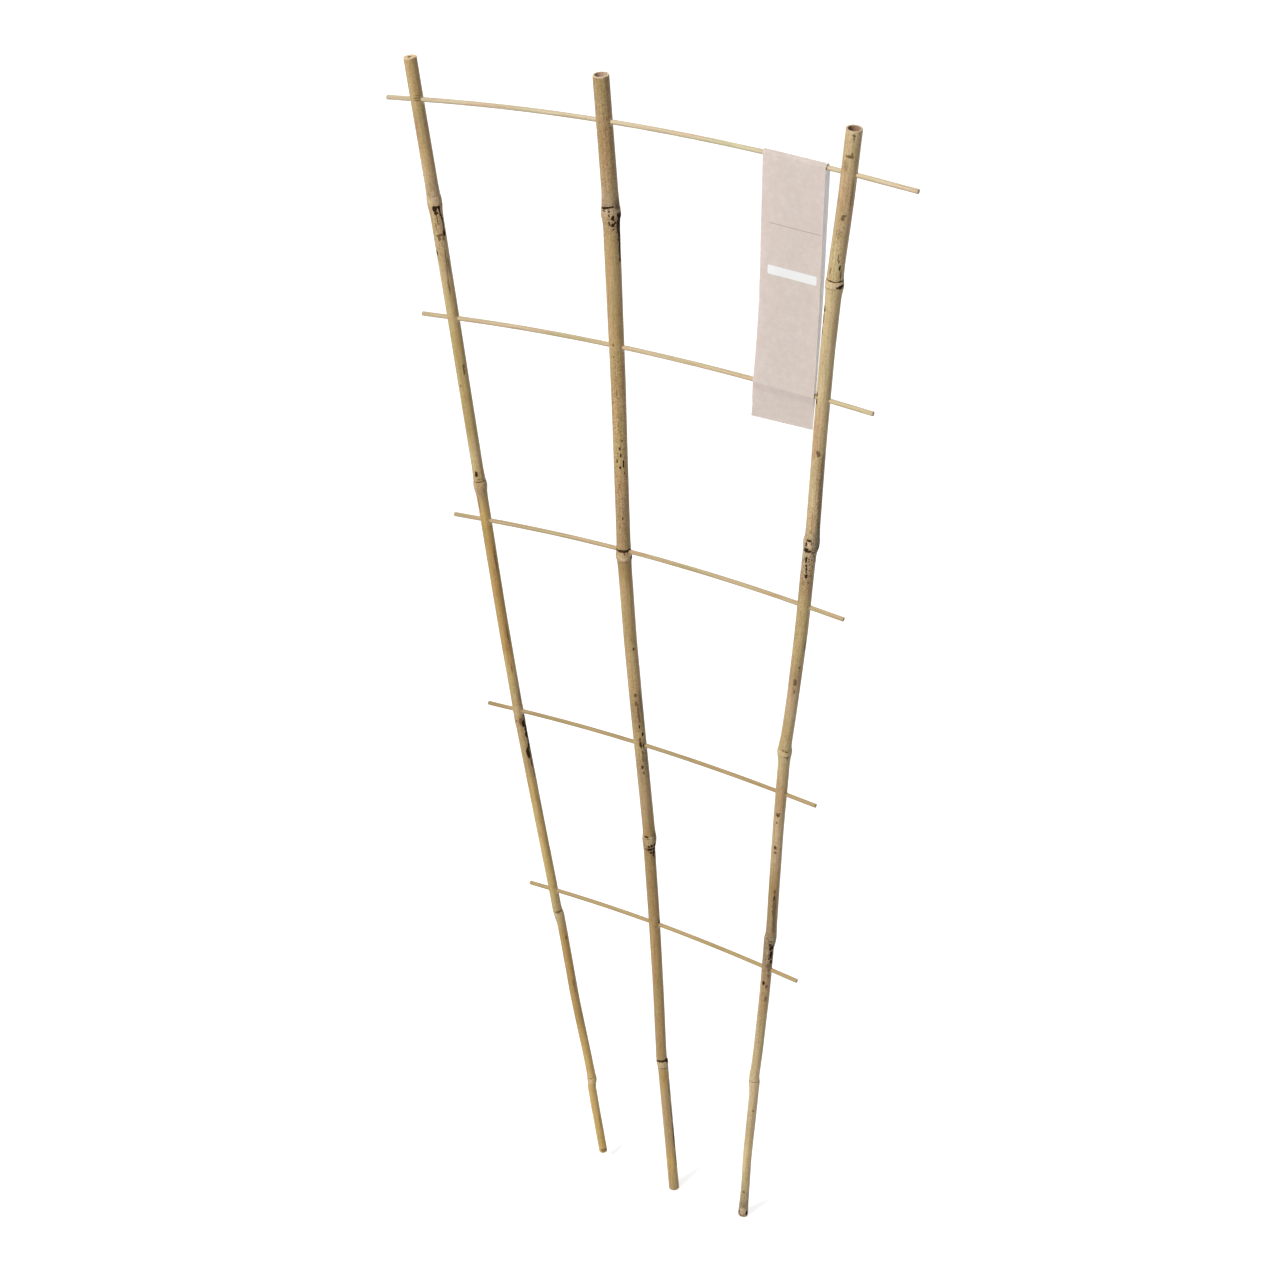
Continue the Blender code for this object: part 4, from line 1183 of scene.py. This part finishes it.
def label_sheet(path, radius, drop_2):
    """The strip as a thin closed sheet along its path, skewed and creased as paper is."""
    rows, columns = len(path), LABEL_COLUMNS
    down, out, side = np.array(path).T
    tangent = np.stack([np.gradient(down), np.gradient(out)], -1)
    tangent /= np.linalg.norm(tangent, axis=1)[:, None]
    normal = np.stack([tangent[:, 1], -tangent[:, 0]], -1)
    walked = np.concatenate([[0], np.cumsum(np.hypot(np.diff(down), np.diff(out)))])

    def edge(front_stops, back_stops):
        front, back = (np.interp(down, *zip(*stops)) for stops in (front_stops, back_stops))
        share = smoothstep(-1.0, 1.0, out / BAR_REACH)
        return (1 - share) * front + share * back

    left, right = edge(FRONT_LEFT, BACK_LEFT), edge(FRONT_RIGHT, BACK_RIGHT)
    shares = np.linspace(0, 1, columns)
    across = left[:, None] + (right - left)[:, None] * shares[None, :]
    foot_skew = np.clip((down - drop_2) / TAIL, 0, 1)[:, None]
    drop = down[:, None] - foot_skew * TAIL_SKEW * shares[None, :]

    free = smoothstep(4, 14, down) * smoothstep(3, 12, np.abs(down - drop_2)) * (down < drop_2 + 2)
    wave = np.zeros((rows, columns))
    for row in range(rows):
        for column in range(columns):
            for high, wide, long, start in WAVES:
                place = Vector((across[row, column] / wide, down[row] / long,
                                start + 3.0 * side[row]))
                wave[row, column] += high * noise.noise(place)
    middle_y = out[:, None] + wave * free[:, None] * side[:, None]
    surfaces = []
    for thick in (PAPER / 2, -PAPER / 2):
        d = drop + thick * normal[:, 0][:, None]
        y = middle_y + thick * normal[:, 1][:, None]
        surfaces.append(label_place(radius, d * MM, across * MM, y * MM).reshape(-1, 3))

    count = rows * columns
    sheet = ring_faces(rows, columns, closed=False)
    faces = sheet + [tuple(count + index for index in face[::-1]) for face in sheet]
    kinds = [0] * len(sheet) + [1] * len(sheet)
    rim = [row * columns for row in range(rows)]
    rim += [(rows - 1) * columns + column for column in range(1, columns)]
    rim += [row * columns + columns - 1 for row in range(rows - 2, -1, -1)]
    rim += list(range(columns - 2, 0, -1))
    for first, second in zip(rim, rim[1:] + rim[:1]):
        faces.append((first, second, count + second, count + first))
        kinds.append(1)
    label = object_from("label_paper", np.concatenate(surfaces), faces, kinds)
    make_outward(label.data)

    def on_both(*columns_of):
        """Values at every point of both sides, from values down or all over the strip."""
        full = [np.broadcast_to(values if np.ndim(values) > 1 else values[:, None],
                                (rows, columns)).ravel() for values in columns_of]
        return np.concatenate([np.stack(full, -1).squeeze()] * 2)

    # The crease over the second crossbar gets a painted highlight, and the band just under it gets
    # painted shade
    write_attributes(
        label.data, sheet=on_both(across, walked, out) * MM, spot=on_both(across, drop, side) * MM,
        crease=on_both(bell(down - drop_2, *CREASE_HIGHLIGHT_BAND)), rub=on_both(bell(down - drop_2, *SHADE_UNDER_CREASE_BAND)))
    label.data.materials.append(printed_paper())
    label.data.materials.append(white_paper())
    settle(label, "label", "paper_label")


PAPER_TONE = (0.650, 0.564, 0.515)
PAPER_DARK = (0.588, 0.503, 0.453)
PAPER_LIGHT = (0.700, 0.618, 0.573)
PAPER_FIBRE = (0.45, 0.35, 0.30)
# Painted shade under the crease, and a painted highlight on the crease
SHADE_UNDER_CREASE_TONE = (0.42, 0.34, 0.31)
CREASE_HIGHLIGHT_TONE = (0.82, 0.76, 0.72)
FIELD_TONE = (0.900, 0.890, 0.890)
RULE_TONE = (0.340, 0.260, 0.220)
BARE_TONE = (0.920, 0.910, 0.940)
BARE_DARK = (0.880, 0.865, 0.900)
BARE_GRIT = (0.78, 0.75, 0.78)
# How far light wanders in the paper
PAPER_GLOW = 0.8 * MM
INNER_GLOW = 4.0 * MM


def box_distance(g, x, y, corners, rounding):
    """Distance outside a box with rounded corners, on the label; corners and rounding in mm."""
    left, upper, right, lower = (value * MM for value in corners)
    rounding *= MM
    beyond = []
    for value, low, high in ((x, left, right), (y, upper, lower)):
        away = g.math("ABSOLUTE", g.minus(value, (low + high) / 2))
        away = g.most(g.minus(away, (high - low) / 2 - rounding), 0.0)
        beyond.append(g.times(away, away))
    return g.minus(g.math("SQRT", g.plus(*beyond)), rounding)


def let_light_through(g, glow):
    g.feed(g.shader, {"Subsurface Weight": 1.0, "Subsurface Radius": (1.0, 0.95, 1.0),
                      "Subsurface Scale": glow})


def printed_paper():
    """The label's outside: uncoated pinkish paper with a cloudy mottle and short fibres."""
    g = Graph("label_printed")
    sheet = g.attribute("sheet", "Vector")
    cloud = g.noise(sheet, (3.5, 3.5, 3.5), 4, (1, 2, 3), 0.6)
    grit = g.noise(sheet, (1.3, 1.0, 1.0), 3, (5, 1, 2))
    fibre = g.noise(sheet, (2.2, 0.35, 1.0), 2, (3, 3, 9))
    colour = g.layers(
        PAPER_TONE, (cloud, 0.40, 0.66, 0.45, PAPER_DARK), (cloud, 0.46, 0.30, 0.50, PAPER_LIGHT),
        (grit, 0.50, 0.72, 0.40, PAPER_DARK), (fibre, 0.60, 0.78, 0.35, PAPER_FIBRE),
        # painted shade just under the crease over the second crossbar, and a faint painted
        # highlight on the crease
        (g.attribute("rub"), 0.1, 1.0, 0.24, SHADE_UNDER_CREASE_TONE),
        (g.attribute("crease"), 0.2, 1.0, 0.05, CREASE_HIGHLIGHT_TONE))

    x, y, leg = g.add("SeparateXYZ", {0: g.attribute("spot", "Vector")})
    front = g.ramp(leg, -0.2 * MM, -0.6 * MM)
    field = g.ramp(box_distance(g, x, y, FIELD_CORNERS, 0.9), 0.10 * MM, -0.10 * MM)
    colour = g.mix(g.times(field, front), colour, FIELD_TONE)
    rule = g.ramp(box_distance(g, x, y, RULE_CORNERS, 0.1), 0.08 * MM, -0.05 * MM)
    colour = g.mix(g.times(rule, g.times(front, 0.85)), colour, RULE_TONE)
    let_light_through(g, PAPER_GLOW)
    normal = g.bump((grit, 0.05, 0.6), (cloud, 0.25, 0.5))
    return g.finish(colour, g.ramp(grit, 0.3, 0.7, 0.78, 0.90), normal)


def white_paper():
    """The bare inside of the label and its cut edges."""
    g = Graph("label_white")
    sheet = g.attribute("sheet", "Vector")
    cloud = g.noise(sheet, (6, 6, 6), 3, (4, 4, 4))
    grit = g.noise(sheet, (0.9, 0.7, 0.7), 3, (2, 1, 2))
    colour = g.layers(BARE_TONE, (cloud, 0.35, 0.65, 1.0, BARE_DARK),
                      (grit, 0.55, 0.75, 0.3, BARE_GRIT))
    let_light_through(g, INNER_GLOW)
    return g.finish(colour, g.ramp(grit, 0.3, 0.7, 0.80, 0.92), g.bump((grit, 0.05, 0.5)))


# Stage
FLOOR_DROP = 0.4 * MM
FLOOR_HALF = 9.0
FLOOR_TONE = 0.62
# Beyond the lamps' light the floor glows up to white, from the first distance to the second
FLOOR_FADE = (1.8, 3.6)
WORLD_LIGHT = 0.27


def make_floor():
    corners = ((-1, -1), (1, -1), (1, 1), (-1, 1))
    floor = object_from("floor", [(x * FLOOR_HALF, y * FLOOR_HALF, -FLOOR_DROP)
                                  for x, y in corners], [(0, 1, 2, 3)])
    g = Graph("floor_white")
    g.feed(g.shader, {"Base Color": (*(FLOOR_TONE,) * 3, 1.0), "Roughness": 0.9})
    place = g.add("TexCoord")["Object"]
    away = g.add("VectorMath", {0: place}, operation="LENGTH")["Value"]
    level = g.ramp(away, *FLOOR_FADE, FLOOR_TONE, 1.0)
    seen = g.rays("Camera", "Glossy", "Transmission")
    glow = g.add("Emission", {"Strength": g.times(seen, level)})[0]
    both = g.add("AddShader", {0: g.shader.outputs[0], 1: glow})[0]
    g.feed(g.tree.nodes["Material Output"], {"Surface": both})
    floor.data.materials.append(g.owner)


def make_world():
    g = Graph("studio", "Background", bpy.data.worlds)
    bpy.context.scene.world = g.owner
    level = g.ramp(g.rays("Camera", "Glossy"), 0.0, 1.0, WORLD_LIGHT, 1.0)
    g.feed(g.shader, {"Color": (1.0, 1.0, 1.0, 1.0), "Strength": level})


# A soft lamp that looks at the middle of the trellis: its azimuth from the front towards +X and
# its elevation in degrees, its distance and size in metres and its power in watts
Lamp = namedtuple("Lamp", "name azimuth elevation distance size power")
LAMPS = (
    Lamp("key", -18, 44, 4.5, 1.4, 178.0),
    Lamp("back", 200, 40, 4.5, 1.6, 60.0),
)
LIT_MIDDLE = Vector((0.0, 0.0, 0.45))


def make_lamps():
    for lamp in LAMPS:
        light = bpy.data.lights.new(lamp.name, "AREA")
        light.shape, light.size, light.energy = "DISK", lamp.size, lamp.power
        turn, rise = math.radians(lamp.azimuth), math.radians(lamp.elevation)
        level = math.cos(rise)
        reach = Vector((math.sin(turn) * level, -math.cos(turn) * level, math.sin(rise)))
        stand = linked(lamp.name, light)
        stand.location = LIT_MIDDLE + lamp.distance * reach
        stand.rotation_euler = reach.to_track_quat("Z", "Y").to_euler()


def make_camera():
    data = bpy.data.cameras.new("photo_camera")
    data.sensor_fit = "HORIZONTAL"
    data.sensor_width = SENSOR_WIDTH
    data.lens = FOCAL_PIXELS / PHOTO_SIZE * SENSOR_WIDTH
    data.clip_end = 60.0
    camera = linked("photo_camera", data)
    turn = Matrix((CAMERA_RIGHT, CAMERA_UP, CAMERA_BACK)).transposed()
    camera.matrix_world = Matrix.Translation(CAMERA_PLACE) @ turn.to_4x4()
    bpy.context.scene.camera = camera


bars = [BarLine(number) for number in range(1, 6)]
for seed, name in enumerate(CANE_ENDS, start=1):
    make_cane(CaneLine(name, bars), cane_materials(name, seed))
for number, bar in enumerate(bars, start=1):
    make_bar(number, bar)
make_label(*bars[:2])
make_floor()
make_world()
make_lamps()
make_camera()
bpy.context.scene.view_settings.view_transform = "Standard"

bpy.context.view_layer.update()
